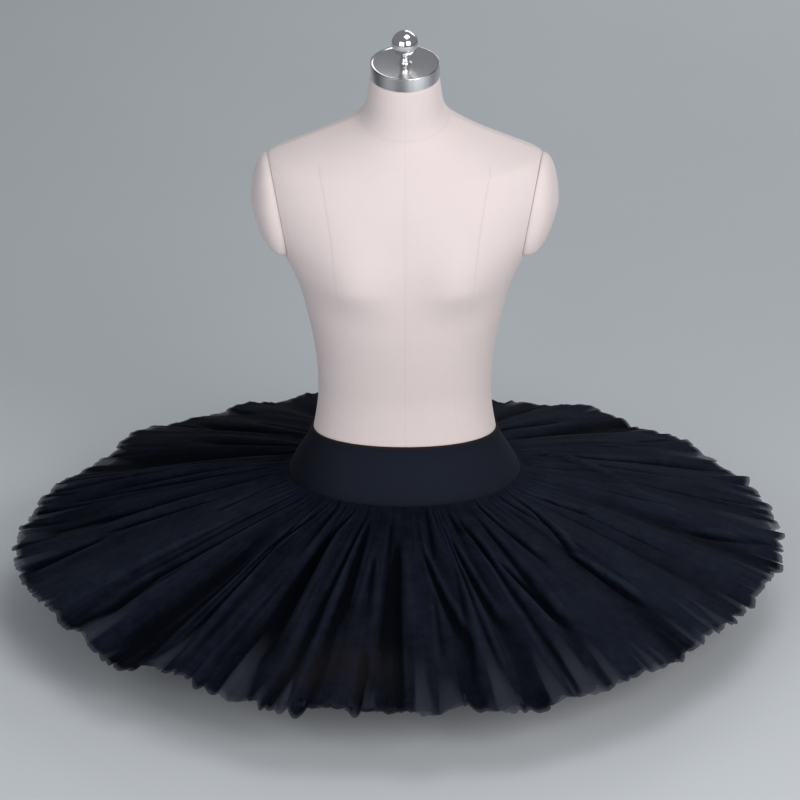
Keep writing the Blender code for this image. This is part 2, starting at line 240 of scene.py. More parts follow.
LAMPS = (
    # name        place                 size        watts  tint
    ("key_box", (1.45, -2.40, 1.60), (1.6, 1.6), 51.0, (1.0, 0.985, 0.975)),
    ("front_box", (-1.45, -2.70, 1.35), (2.2, 1.8), 32.0, (0.97, 0.985, 1.0)),
    ("top_box", (0.60, -0.40, 2.90), (1.5, 1.2), 14.0, (0.97, 0.99, 1.0)),
    ("back_box", (1.30, 3.60, 2.10), (2.6, 1.8), 30.0, (0.97, 0.99, 1.0)),
)
for lamp in LAMPS:
    add_lamp(*lamp)
print("lamps:", ", ".join(lamp[0] for lamp in LAMPS))

world = bpy.data.worlds.new("room")
world.use_nodes = True
sky = world.node_tree.nodes["Background"]
sky.inputs["Color"].default_value = colour(0.88, 0.93, 1.00)
sky.inputs["Strength"].default_value = 0.23
bpy.context.scene.world = world
bpy.context.scene.view_settings.view_transform = "Standard"

# %% The floor
FLOOR_WIDTH = 40.0

bpy.ops.object.select_all(action="DESELECT")
bpy.ops.mesh.primitive_plane_add(size=FLOOR_WIDTH, location=(0.0, 1.0, 0.0))
floor = bpy.context.object
floor.name = "floor"
bpy.ops.object.transform_apply(location=True, rotation=True, scale=True)
paper = Finish("floor_paper", Roughness=0.85, Specular_IOR_Level=0.2)
mottle = paper.noise(paper.place(), 3.0, 3.0)
floor.data.materials.append(
    paper.set(Base_Color=paper.blend(mottle, colour(0.60, 0.625, 0.65), colour(0.63, 0.655, 0.68)))
)
print("floor:", FLOOR_WIDTH, "m wide")

# %% [markdown]
# ## The form's shape
#
# The form is a stack of rounded sections. Each row of the table is the outline at one height:
# half its width, how far it reaches to the front and to the back, how much it dips in front and
# rises behind, and how square its corners are. A smooth curve that never overshoots runs through
# each column, so a section can be read at any height.

# %% The table of sections
FORM_COLUMNS = ("height", "half_width", "centre", "front", "back", "dip", "rise", "square")
FORM_SECTIONS = (
    (0.0083, 0.1490, 0.0020, 0.0990, 0.1070, 0.0000, 0.0000, 2.00),    # underside
    (0.0600, 0.1565, 0.0020, 0.1030, 0.1140, 0.0000, 0.0000, 2.00),
    (0.1150, 0.1570, 0.0010, 0.1060, 0.1170, 0.0000, 0.0000, 2.00),    # fullest hip
    (0.1900, 0.1437, 0.0000, 0.1067, 0.1067, 0.0000, 0.0000, 2.00),    # lower edge of the band
    (0.2500, 0.1147, 0.0000, 0.0815, 0.0835, 0.0000, 0.0000, 2.00),    # upper edge of the band
    (0.3050, 0.1082, 0.0000, 0.0775, 0.0760, 0.0000, 0.0000, 2.05),    # waist
    (0.3400, 0.1098, 0.0000, 0.0810, 0.0790, 0.0000, 0.0000, 2.10),
    (0.3770, 0.1145, 0.0000, 0.0870, 0.0850, 0.0000, 0.0000, 2.15),
    (0.4090, 0.1210, 0.0000, 0.0920, 0.0895, 0.0000, 0.0000, 2.20),
    (0.4490, 0.1310, 0.0000, 0.0955, 0.0930, 0.0000, 0.0000, 2.25),
    (0.4890, 0.1485, 0.0000, 0.0960, 0.0950, 0.0000, 0.0000, 2.30),    # armpit
    (0.5300, 0.1680, 0.0010, 0.0930, 0.0960, 0.0000, 0.0000, 2.35),
    (0.5650, 0.1760, 0.0020, 0.0880, 0.0940, 0.0020, 0.0000, 2.30),
    (0.5950, 0.1770, 0.0030, 0.0810, 0.0850, 0.0075, 0.0000, 2.10),
    (0.6160, 0.1680, 0.0040, 0.0755, 0.0740, 0.0145, 0.0000, 1.90),    # shoulder point
    (0.6280, 0.1430, 0.0040, 0.0718, 0.0640, 0.0195, 0.0010, 1.80),
    (0.6410, 0.1096, 0.0040, 0.0665, 0.0540, 0.0225, 0.0030, 1.75),
    (0.6530, 0.0810, 0.0035, 0.0595, 0.0490, 0.0220, 0.0050, 1.80),
    (0.6670, 0.0560, 0.0020, 0.0508, 0.0465, 0.0200, 0.0070, 1.95),    # neck seam
    (0.6830, 0.0470, -0.0010, 0.0465, 0.0450, 0.0165, 0.0080, 2.00),
    (0.7010, 0.0442, -0.0050, 0.0440, 0.0430, 0.0110, 0.0080, 2.00),
    (0.7196, 0.0418, -0.0085, 0.0412, 0.0412, 0.0073, 0.0073, 2.00),   # under the neck cap
)


def column(rows, columns, name):
    place = columns.index(name)
    return np.array([row[place] for row in rows])


def smooth_slopes(xs, ys):
    """Slopes for a smooth curve through the points that never overshoots them."""
    steps = np.diff(xs)
    rates = np.diff(ys) / steps
    slopes = np.zeros(len(xs))
    slopes[0] = rates[0]
    slopes[-1] = rates[-1]
    for i in range(1, len(xs) - 1):
        if rates[i - 1] * rates[i] > 0.0:
            before = 2.0 * steps[i] + steps[i - 1]
            after = steps[i] + 2.0 * steps[i - 1]
            slopes[i] = (before + after) / (before / rates[i - 1] + after / rates[i])
    return slopes


def smooth_curve(xs, ys, x):
    """Read the smooth curve through the points at one or many x."""
    slopes = smooth_slopes(xs, ys)
    i = np.clip(np.searchsorted(xs, x) - 1, 0, len(xs) - 2)
    step = xs[i + 1] - xs[i]
    t = np.clip((x - xs[i]) / step, 0.0, 1.0)
    start = (1.0 + 2.0 * t) * (1.0 - t) ** 2 * ys[i] + t * (1.0 - t) ** 2 * step * slopes[i]
    end = t * t * (3.0 - 2.0 * t) * ys[i + 1] + t * t * (t - 1.0) * step * slopes[i + 1]
    return start + end


FORM_HEIGHTS = column(FORM_SECTIONS, FORM_COLUMNS, "height")


def section_at(height):
    """The form's section at a height, or at one height for each point."""
    return {
        name: smooth_curve(FORM_HEIGHTS, column(FORM_SECTIONS, FORM_COLUMNS, name), height)
        for name in FORM_COLUMNS[1:]
    }


# %% A point of the form
BUST_X = 0.066               # from the centre front to each apex
BUST_HEIGHT = 0.474
BUST_DEPTH = 0.014
BUST_HALF_WIDTH = 0.043
BUST_ABOVE = 0.062           # how soon it fades upwards
BUST_BELOW = 0.031           # and downwards
SQUARE_BLEND = 0.012         # how softly a section that would be sharper than an oval becomes one


def signed_power(value, power):
    return np.copysign(np.abs(value) ** power, value)


def bust_fullness(x, height):
    """How far the bust stands forward of the plain section."""
    reach = np.where(height > BUST_HEIGHT, BUST_ABOVE, BUST_BELOW)
    along = (height - BUST_HEIGHT) / reach
    total = 0.0
    for side in (-1.0, 1.0):
        across = (x - side * BUST_X) / BUST_HALF_WIDTH
        total = total + BUST_DEPTH * np.exp(-across * across - along * along)
    return total


def form_points(height, angle, outward=0.0):
    """Points of the form's surface, or of cloth that lies outward of it, one to a row."""
    section = section_at(height)
    in_front = np.sin(angle) < 0.0
    past_oval = section["square"] - 2.0
    at_least_oval = 2.0 + 0.5 * (past_oval + np.sqrt(past_oval ** 2 + SQUARE_BLEND))
    square = np.where(in_front, at_least_oval, section["square"])
    across = signed_power(np.cos(angle), 2.0 / square)
    along = signed_power(np.sin(angle), 2.0 / square)
    depth = np.where(in_front, section["front"], section["back"])
    lift = np.where(in_front, section["dip"], section["rise"])
    x = (section["half_width"] + outward) * across
    y = section["centre"] + (depth + outward) * along
    z = height + lift * along
    y = y - np.where(in_front, bust_fullness(x, z) * np.minimum(1.0, -2.0 * along), 0.0)
    return np.stack(np.broadcast_arrays(x, y, z), axis=-1)


print("half width at the waist:", round(float(section_at(0.305)["half_width"]), 4))


# %% [markdown]
# ## Making a mesh from a grid of points
#
# The form's cover, the band and the net are all grids: rings of points, one above or outside the
# other. One helper turns such a grid into a mesh, and another gives every point a number or a
# vector that the finishes can read, such as its cloth coordinates in metres.

# %% Grids into meshes
def add_piece(name, points, faces, material, smooth=True):
    """A new object at the origin from points and faces."""
    mesh = bpy.data.meshes.new(name)
    mesh.from_pydata(np.asarray(points).tolist(), [], faces)
    mesh.materials.append(material)
    if smooth:
        mesh.shade_smooth()
    mesh.update()
    piece = bpy.data.objects.new(name, mesh)
    bpy.context.scene.collection.objects.link(piece)
    return piece


def ring_faces(rows, around, turn=False):
    """Four-sided faces over closed rings, as an array of corner numbers."""
    row, i = np.meshgrid(np.arange(rows - 1), np.arange(around), indexing="ij")
    here = row * around + i
    beside = row * around + (i + 1) % around
    corners = np.stack([here, beside, beside + around, here + around], axis=-1).reshape(-1, 4)
    return corners[:, ::-1] if turn else corners


def set_numbers(piece, name, numbers):
    """Give each point of a piece one number."""
    kept = piece.data.attributes.new(name, "FLOAT", "POINT")
    kept.data.foreach_set("value", np.ascontiguousarray(numbers, dtype=np.float32).ravel())


def face_outwards(piece):
    """Turn every face of a closed piece to point out."""
    shape = bmesh.new()
    shape.from_mesh(piece.data)
    bmesh.ops.recalc_face_normals(shape, faces=shape.faces)
    shape.to_mesh(piece.data)
    shape.free()


def set_vectors(piece, name, vectors):
    """Give each point of a piece three numbers."""
    kept = piece.data.attributes.new(name, "FLOAT_VECTOR", "POINT")
    kept.data.foreach_set("vector", np.ascontiguousarray(vectors, dtype=np.float32).ravel())


# %% [markdown]
# ## Linen
#
# The cover is a fine plain-weave linen over padding, pale cream with a touch of pink. Close up it
# is threads crossing at right angles with thicker slubs here and there, and further away only a
# soft unevenness. The threads follow the piece's own cloth coordinates, which run round the form
# and up it in metres. The seams, and the edge of each shoulder cap, are a little darker.

# %% The linen finish
THREADS_PER_METRE = 1500.0


def linen_finish():
    linen = Finish("linen", Specular_IOR_Level=0.25, Sheen_Weight=0.25, Sheen_Roughness=0.5)
    cloth = linen.attribute("cloth", "Vector")
    round_the_form, up_the_form, _ = linen.parts(cloth)
    warp = linen.math("SINE", round_the_form * (THREADS_PER_METRE * math.pi))
    weft = linen.math("SINE", up_the_form * (THREADS_PER_METRE * math.pi))
    weave = warp * weft
    slub_up = linen.noise(linen.place((900.0, 40.0, 1.0), cloth), 1.0, 1.0)
    slub_round = linen.noise(linen.place((40.0, 900.0, 1.0), cloth), 1.0, 1.0)
    slubs = linen.spread(slub_up + slub_round, 1.15, 1.45)
    mottle = linen.noise(linen.place(), 9.0, 4.0, 0.6)
    fine = linen.noise(linen.place(), 240.0, 2.0)
    seam = linen.attribute("seam")
    tone = linen.blend(mottle, colour(0.722, 0.618, 0.608), colour(0.782, 0.678, 0.667))
    tone = linen.blend(slubs * 0.30, tone, colour(0.84, 0.76, 0.74))
    tone = linen.blend(fine * 0.12, tone, colour(0.62, 0.53, 0.51))
    tone = linen.blend(seam * 0.30, tone, colour(0.30, 0.235, 0.215))
    height = weave * 0.20 + slubs * 0.7 + fine * 0.6
    rough = 0.80 + 0.12 * fine
    return linen.set(
        Base_Color=tone, Roughness=rough, Normal=linen.bump(height, 0.00012, 0.8)
    )


LINEN = linen_finish()
print("linen:", len(LINEN.node_tree.nodes), "nodes")

# %% [markdown]
# ## The form's cover
#
# A form's cover is sewn from eight panels, with seams at the centre front and back, at the sides,
# and over the bust and the shoulder blades. The mesh is laid out the same way: eight seams are
# columns of the grid wherever they wander, with a column close on each side, so a seam is a real
# fine groove. Two more columns on each side follow the edge of the armhole, where the cover is
# cut flat for the shoulder cap.

# %% Where the seams and armholes run
SEAM_HALF_WIDTH = 0.0014
SEAM_DEPTH = 0.0004
PRINCESS_COLUMNS = ("height", "front", "back")
PRINCESS_SEAMS = (
    # height  x in front  x behind
    (0.0083, 0.0800, 0.0640),
    (0.1900, 0.0780, 0.0600),
    (0.3050, 0.0620, 0.0430),     # waist
    (0.4000, 0.0730, 0.0480),
    (0.4780, 0.0840, 0.0560),     # bust
    (0.5310, 0.0890, 0.0680),
    (0.6000, 0.0980, 0.0850),
    (0.6450, 0.1000, 0.0950),     # shoulder seam
)
PRINCESS_LIMIT = 0.80             # of the half width, where the shoulder narrows to the neck
PRINCESS_TOP = 0.630              # the seams over the bust end at the shoulder seam
NECK_SEAM_HEIGHT = 0.6690

ARMHOLE_LOW = (0.1475, 0.4980)    # x and height of the armhole plane at the armpit
ARMHOLE_HIGH = (0.1675, 0.6160)   # and at the shoulder point
ARMHOLE_TURN = 0.10
ARMHOLE_MIDDLE_Y = 0.0030
ARMHOLE_NARROWEST = 0.06          # the least angle between the side seam and the armhole's edge
ARMHOLE_WIDEST = 0.8              # and the most, as a share of the way to the next seam
ARMHOLE_RUN = (ARMHOLE_HIGH[0] - ARMHOLE_LOW[0]) / (ARMHOLE_HIGH[1] - ARMHOLE_LOW[1])


def armhole_limit(y, height):
    """The x of the armhole plane at a place on it."""
    return ARMHOLE_LOW[0] + ARMHOLE_RUN * (height - ARMHOLE_LOW[1]) + ARMHOLE_TURN * y


def princess_angle(height, name):
    """The angle from the side at which a seam over the bust or shoulder blade runs."""
    heights = column(PRINCESS_SEAMS, PRINCESS_COLUMNS, "height")
    x = smooth_curve(heights, column(PRINCESS_SEAMS, PRINCESS_COLUMNS, name), height)
    section = section_at(height)
    share = min(float(x / section["half_width"]), PRINCESS_LIMIT)
    return math.acos(share ** float(0.5 * section["square"]))


def last_inside(test, far, steps):
    """The greatest number from 0 to far that passes a test, found by halving the way to it."""
    near = 0.0
    for _ in range(steps):
        middle = 0.5 * (near + far)
        if test(middle):
            near = middle
        else:
            far = middle
    return near


def armhole_angle(height, sign):
    """The angle from the side at which the armhole's edge crosses a ring."""
    height = min(max(height, ARMHOLE_LOW[1]), ARMHOLE_HIGH[1])

    def past_plane(angle):
        point = form_points(height, sign * angle)
        return point[0] > armhole_limit(point[1], point[2])

    return max(last_inside(past_plane, 0.5 * math.pi, 26), ARMHOLE_NARROWEST)


# %% Lay out one ring
GAP_COLUMNS = (22, 9, 7, 7, 9, 22)    # plain columns between the seams of one half
MEAN_RADIUS = 0.11                    # turns a seam's width into an angle


def ring_layout(height):
    """Angles round a ring, and which seam, if any, each column is."""
    front = princess_angle(height, "front")
    back_seam = princess_angle(height, "back")
    into_front = min(armhole_angle(height, -1.0), ARMHOLE_WIDEST * front)
    into_back = min(armhole_angle(height, 1.0), ARMHOLE_WIDEST * back_seam)
    half = 0.5 * math.pi
    stops = (-half, -front, -into_front, 0.0, into_back, back_seam, half)
    kinds = ("front", "bust", "armhole", "side", "armhole", "blade", "back")
    away = SEAM_HALF_WIDTH / MEAN_RADIUS
    angles = []
    marks = []
    for i, plain in enumerate(GAP_COLUMNS):
        first = stops[i] + away
        last = stops[i + 1] - away
        angles += [stops[i], first]
        marks += [kinds[i], ""]
        for step in range(1, plain + 1):
            angles.append(first + (last - first) * step / (plain + 1))
            marks.append("")
        angles.append(last)
        marks.append("")
    angles += [half] + [math.pi - angle for angle in angles[:0:-1]]
    marks += ["back"] + marks[:0:-1]
    return np.array(angles), marks


MIDDLE_STRENGTH = 0.22
SIDE_STRENGTH = 0.70
NECK_STRENGTH = 0.26
PRINCESS_FADE = ((0.43, 0.52), (0.12, 0.50))    # heights, and the strength at each


def seam_strength(kind, height):
    """How deep a seam is at a height, from 0 to 1."""
    if kind in ("bust", "blade") and height <= PRINCESS_TOP:
        return float(np.interp(height, *PRINCESS_FADE))
    if kind == "side" and height < NECK_SEAM_HEIGHT:
        return SIDE_STRENGTH
    if kind in ("front", "back"):
        return MIDDLE_STRENGTH
    return 0.0


# %% Sew the cover
COVER_BELOW = (FORM_HEIGHTS[0], 0.450, 84)      # the lowest and highest ring, and how many
COVER_ABOVE = (0.453, FORM_HEIGHTS[-1], 92)
ARMHOLE_RINGS = 0.0002                          # how close two rings lie about each armhole end


def add_form_cover():
    """The form's whole cover, closed below by the base and above under the neck cap."""
    steps = list(np.linspace(*COVER_BELOW)) + list(np.linspace(*COVER_ABOVE))
    for edge in (ARMHOLE_LOW[1], ARMHOLE_HIGH[1]):
        steps += [edge - ARMHOLE_RINGS, edge + ARMHOLE_RINGS]
    for away in (-SEAM_HALF_WIDTH, 0.0, SEAM_HALF_WIDTH):
        steps.append(NECK_SEAM_HEIGHT + away)
    heights = np.array(sorted(steps))
    rings = []
    seams = []
    for height in heights:
        angles, marks = ring_layout(height)
        depth = np.array([seam_strength(kind, height) for kind in marks])
        if abs(height - NECK_SEAM_HEIGHT) < 1e-6:
            depth[:] = NECK_STRENGTH
        ring = form_points(height, angles)
        inwards = -ring * np.array((1.0, 1.0, 0.0))
        length = np.maximum(np.linalg.norm(inwards, axis=1, keepdims=True), 1e-6)
        ring = ring + inwards / length * SEAM_DEPTH * depth[:, None]
        cut = (ring[:, 2] > ARMHOLE_LOW[1]) & (ring[:, 2] < ARMHOLE_HIGH[1])
        limit = armhole_limit(ring[:, 1], ring[:, 2])
        ring[:, 0] = np.where(cut, np.clip(ring[:, 0], -limit, limit), ring[:, 0])
        rings.append(ring)
        seams.append(depth)
    grid = np.array(rings)
    rows, around = grid.shape[:2]
    faces = ring_faces(rows, around).tolist()
    faces.append(list(range(around))[::-1])
    faces.append([(rows - 1) * around + i for i in range(around)])
    cover = add_piece("form_cover", grid.reshape(-1, 3), faces, LINEN)
    set_numbers(cover, "seam", np.array(seams))
    set_vectors(cover, "cloth", cloth_coordinates(grid))
    return cover


def cloth_coordinates(grid):
    """Metres both ways round a grid of rings from its first column, and up from its first ring."""
    around = grid.shape[1]
    round_steps = np.linalg.norm(np.roll(grid, -1, axis=1) - grid, axis=2)
    ends = np.cumsum(round_steps, axis=1)
    starts = ends - round_steps
    round_way = np.where(np.arange(around) <= around // 2, starts, starts - ends[:, -1:])
    up_steps = np.linalg.norm(np.diff(grid, axis=0), axis=2)
    up_way = np.concatenate([np.zeros((1, grid.shape[1])), np.cumsum(up_steps, axis=0)], axis=0)
    return np.stack([round_way, up_way, np.zeros_like(up_way)], axis=-1).reshape(-1, 3)


form_cover = add_form_cover()
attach(form_cover, "root")
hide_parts("form_torso")
print("form cover:", len(form_cover.data.polygons), "faces")

# %% [markdown]
# ## The shoulder caps
#
# Each armhole is closed by a stuffed linen dome. It could be half a ball, but the armhole is a
# rounded triangle, so the rings of the dome keep the armhole's own outline and shrink towards the
# middle as they rise, which gives the soft shoulder its true shape.

# %% Stuff the two caps
CAP_REACH = 0.0310
CAP_SLOPE = 0.30             # how much flatter it is at its top
CAP_ROUND = 0.8              # less than 1 fills the dome out towards its edge
CAP_AROUND = 112
CAP_RINGS = 26
CAP_GAP = 0.0004


def inside_armhole(y, height):
    """Whether the plain section reaches past the armhole plane there."""
    section = section_at(height)
    depth = section["front"] if y < section["centre"] else section["back"]
    share = abs(y - section["centre"]) / depth
    if share >= 1.0:
        return False
    width = section["half_width"] * (1.0 - share ** section["square"]) ** (1.0 / section["square"])
    return bool(width > armhole_limit(y, height))


def armhole_outline(count):
    """The edge of the flat armhole, as (y, height) offsets from its middle."""
    middle = 0.5 * (ARMHOLE_LOW[1] + ARMHOLE_HIGH[1])
    outline = []
    for angle in np.linspace(0.0, 2.0 * math.pi, count, endpoint=False):
        along, up = math.cos(angle), math.sin(angle)

        def in_armhole(reach):
            height = middle + reach * up
            within = ARMHOLE_LOW[1] < height < ARMHOLE_HIGH[1]
            return within and inside_armhole(ARMHOLE_MIDDLE_Y + reach * along, height)

        reach = last_inside(in_armhole, 0.090, 22)
        outline.append((reach * along, reach * up))
    return np.array(outline)


def add_shoulder_cap(side, name, node):
    """A dome over one armhole: rings of its outline that shrink to a pole as they rise."""
    middle = 0.5 * (ARMHOLE_LOW[1] + ARMHOLE_HIGH[1])
    half = 0.5 * (ARMHOLE_HIGH[1] - ARMHOLE_LOW[1])
    outwards = np.array((1.0, -ARMHOLE_TURN, -ARMHOLE_RUN))
    outwards /= np.linalg.norm(outwards)
    rings = []
    for number in range(CAP_RINGS):
        turn = 0.5 * math.pi * number / CAP_RINGS
        share = math.cos(turn)
        reach = CAP_REACH * math.sin(turn) ** CAP_ROUND
        across = share * OUTLINE[:, 0]
        above = share * OUTLINE[:, 1]
        y = ARMHOLE_MIDDLE_Y + across
        height = middle + above
        flat = np.stack([armhole_limit(y, height), y, height], axis=-1)
        flatter = 1.0 - CAP_SLOPE * np.maximum(0.0, above / half)
        ring = flat + (reach * flatter + CAP_GAP)[:, None] * outwards
        ring[:, 0] *= side
        rings.append(ring)
    pole = np.array((side * armhole_limit(ARMHOLE_MIDDLE_Y, middle), ARMHOLE_MIDDLE_Y, middle))
    pole = pole + CAP_REACH * outwards * np.array((side, 1.0, 1.0))
    points = np.vstack([np.array(rings).reshape(-1, 3), pole])
    top = len(points) - 1
    faces = ring_faces(CAP_RINGS, CAP_AROUND, turn=side < 0.0).tolist()
    ends = list(range(top - CAP_AROUND, top))
    for a, b in zip(ends, ends[1:] + ends[:1]):
        faces.append([b, a, top] if side < 0.0 else [a, b, top])
    faces.append(list(range(CAP_AROUND)) if side < 0.0 else list(range(CAP_AROUND))[::-1])
    cap = add_piece(name, points, faces, LINEN)
    face_outwards(cap)
    cap.data.set_sharp_from_angle(angle=math.radians(60.0))
    edge = np.zeros(len(points))
    edge[:CAP_AROUND] = 1.0
    set_numbers(cap, "seam", edge)
    set_vectors(cap, "cloth", np.stack([points[:, 1], points[:, 2], 0.0 * edge], axis=-1))
    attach(cap, "root")
    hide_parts(node)
    return cap


OUTLINE = armhole_outline(CAP_AROUND)
for side, hand in ((-1.0, "right"), (1.0, "left")):
    cap = add_shoulder_cap(side, "shoulder_dome_" + hand, "shoulder_cap_" + hand)
    print(cap.name, "faces:", len(cap.data.polygons))

# %% [markdown]
# ## The neck cap and its knob
#
# The neck ends in a turned and chromed cap with a raised lip and a dished top, and a ball on a
# flared stem to lift the form by. Both are modelled as on a lathe: the cap starts as a cylinder
# whose top is inset and sunk, the knob as a ball whose lowest rings are cut away and drawn out
# into the stem. Bevels catch the light on every edge. The side of the cap has darker and lighter
# streaks painted into its colour, a painted reflection, which a sum of two waves of the angle gives.

# %% Chrome
NECK_TOP = (0.0, -0.0085, 0.7200)
# painted reflections round the cap's side: two waves of the angle, and the dark and light they paint
REFLECTION_WAVES = ((3.0, 1.7, 0.55), (7.0, 0.4, 0.45))    # how many round the cap, their start and share
CAP_SIDE = (0.0404, 0.0416)                       # radii between which its top turns to its side
PAINTED_DARK_REFLECTION = colour(0.16, 0.155, 0.16)
PAINTED_BRIGHT_REFLECTION = colour(1.0, 0.99, 0.98)


def chrome_finish(name, turned, rough):
    """Chrome, with as much painted reflection in streaks round the cap's side as is asked for."""
    chrome = Finish(name, Specular_IOR_Level=0.5)
    haze = chrome.noise(chrome.place(), 60.0, 3.0)
    scratch = chrome.noise(chrome.place((1.0, 1.0, 9.0)), 420.0, 2.0)
    tone = chrome.blend(haze, colour(0.74, 0.725, 0.73), colour(0.84, 0.825, 0.83))
    if turned > 0.0:
        across, behind, _ = chrome.parts(chrome.place())
        behind = behind - NECK_TOP[1]
        radius = chrome.math("SQRT", across * across + behind * behind)
        angle = chrome.math("ARCTAN2", behind, across)
        first, second = (
            chrome.math("SINE", angle * count + start) * share for count, start, share in REFLECTION_WAVES
        )
        painted_reflection = first + second
        side = chrome.spread(radius, *CAP_SIDE) * turned
        # painted reflection: the cap's side is painted darker and lighter by the angle round it
        tone = chrome.blend(side * chrome.spread(painted_reflection, -0.25, 0.75), tone, PAINTED_DARK_REFLECTION)
        tone = chrome.blend(side * chrome.spread(0.0 - painted_reflection, 0.45, 0.85), tone, PAINTED_BRIGHT_REFLECTION)
    rough = rough + 0.05 * haze + 0.04 * scratch
    normal = chrome.bump(scratch, 0.00002, 0.35)
    return chrome.set(Base_Color=tone, Metallic=1.0, Roughness=rough, Normal=normal)


CHROME = chrome_finish("chrome", 0.0, 0.09)
CHROME_WITH_PAINTED_REFLECTIONS = chrome_finish("chrome_painted_reflections", 0.9, 0.15)
print("chrome:", CHROME.name, CHROME_WITH_PAINTED_REFLECTIONS.name)


# %% Helpers for shaping in edit mode
def pick(piece):
    bpy.ops.object.select_all(action="DESELECT")
    piece.select_set(True)
    bpy.context.view_layer.objects.active = piece


def begin_edit(piece, mode="FACE"):
    pick(piece)
    bpy.ops.object.mode_set(mode="EDIT")
    bpy.ops.mesh.select_mode(type=mode)
    bpy.ops.mesh.select_all(action="DESELECT")


def select_where(piece, kind, test):
    """In edit mode, select only the vertices, edges or faces that pass a test."""
    bpy.ops.mesh.select_all(action="DESELECT")
    shape = bmesh.from_edit_mesh(piece.data)
    for item in getattr(shape, kind):
        if test(item):
            item.select_set(True)
    shape.select_flush_mode()
    bmesh.update_edit_mesh(piece.data)


def round_edges(piece, width, segments, sharper_than, smooth_below):
    """Bevel the edges that are sharper than one angle, and smooth those below another."""
    pick(piece)
    bevel = piece.modifiers.new("bevel", "BEVEL")
    bevel.width = width
    bevel.segments = segments
    bevel.limit_method = "ANGLE"
    bevel.angle_limit = math.radians(sharper_than)
    bpy.ops.object.modifier_apply(modifier=bevel.name)
    bpy.ops.object.shade_smooth_by_angle(angle=math.radians(smooth_below))


def stand_on_neck(piece):
    """Move a turned piece, made upright at the origin, onto the leaning neck."""
    piece.data.transform(Matrix.Translation(NECK_TOP) @ Matrix.Rotation(NECK_TILT, 4, "X"))


# %% Turn the neck cap
NECK_TILT = math.radians(10.0)
NECK_CAP_RADIUS = 0.0420
NECK_CAP_HEIGHT = 0.0176
LIP_WIDTH = 0.0022
DISH_DEPTH = 0.0010

bpy.ops.object.select_all(action="DESELECT")
bpy.ops.mesh.primitive_cylinder_add(
    vertices=128, radius=NECK_CAP_RADIUS, depth=NECK_CAP_HEIGHT,
    location=(0.0, 0.0, 0.5 * NECK_CAP_HEIGHT),
)
neck_cap = bpy.context.object
neck_cap.name = "chrome_neck_cap"
bpy.ops.object.transform_apply(location=True, rotation=True, scale=True)
begin_edit(neck_cap)
select_where(neck_cap, "faces", lambda face: face.normal.z > 0.9)
bpy.ops.mesh.inset(thickness=LIP_WIDTH)
bpy.ops.mesh.inset(thickness=DISH_DEPTH)
bpy.ops.transform.translate(value=(0.0, 0.0, -DISH_DEPTH))
bpy.ops.object.mode_set(mode="OBJECT")
round_edges(neck_cap, 0.0007, 4, 30.0, 40.0)
stand_on_neck(neck_cap)
neck_cap.data.materials.append(CHROME_WITH_PAINTED_REFLECTIONS)
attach(neck_cap, "root")
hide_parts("neck_cap")
print("neck cap:", len(neck_cap.data.polygons), "faces")

# %% Turn the knob
BALL_RADIUS = 0.0162
BALL_CENTRE = NECK_CAP_HEIGHT + 0.0260
STEM_RADIUS = 0.0052
STEM_FOOT = NECK_CAP_HEIGHT - DISH_DEPTH + 0.0003
STEM_HEIGHT = 0.0095
STEM_FLARE = (0.60, 0.0020)       # how much wider the foot is, and how soon that fades upwards
STEM_STEPS = [
    (1.0 + STEM_FLARE[0] * math.exp(-above / STEM_FLARE[1]), above)
    for above in STEM_HEIGHT * np.linspace(1.0, 0.0, 10) ** 1.5
]

bpy.ops.object.select_all(action="DESELECT")
bpy.ops.mesh.primitive_uv_sphere_add(
    segments=96, ring_count=48, radius=BALL_RADIUS, location=(0.0, 0.0, BALL_CENTRE)
)
knob = bpy.context.object
knob.name = "chrome_knob"
bpy.ops.object.transform_apply(location=True, rotation=True, scale=True)
begin_edit(knob, "VERT")
cut_height = BALL_CENTRE - math.sqrt(BALL_RADIUS ** 2 - STEM_RADIUS ** 2)
select_where(knob, "verts", lambda vert: vert.co.z < cut_height + 0.0002)
bpy.ops.mesh.delete(type="VERT")
select_where(knob, "edges", lambda edge: edge.is_boundary)
shape = bmesh.from_edit_mesh(knob.data)
rim = [vert for vert in shape.verts if vert.select]
radius = max(math.hypot(vert.co.x, vert.co.y) for vert in rim)
height = sum(vert.co.z for vert in rim) / len(rim)
for wide, above in STEM_STEPS:
    new_height = STEM_FOOT + above
    bpy.ops.mesh.extrude_edges_move(
        TRANSFORM_OT_translate={"value": (0.0, 0.0, new_height - height)}
    )
    growth = wide * STEM_RADIUS / radius
    bpy.ops.transform.resize(value=(growth, growth, 1.0), center_override=(0.0, 0.0, new_height))
    radius = wide * STEM_RADIUS
    height = new_height
bpy.ops.mesh.edge_face_add()
bpy.ops.object.mode_set(mode="OBJECT")
round_edges(knob, 0.0003, 2, 45.0, 50.0)
stand_on_neck(knob)
knob.data.materials.append(CHROME)
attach(knob, "root")
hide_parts("finial")
print("knob:", len(knob.data.polygons), "faces")

# %% [markdown]
# ## The base board
#
# The form ends below in a flat board just inside the cover's edge, which it stands on. The
# construction's board has the right outline, so a copy of it is welded and its edges are rounded
# over, as a router would do.

# %% Board finish and board
BOARD_ROUND = 0.0012
PLY_WAVE = 3900.0                 # radians per metre up: a light and a dark ply every 1.6 mm


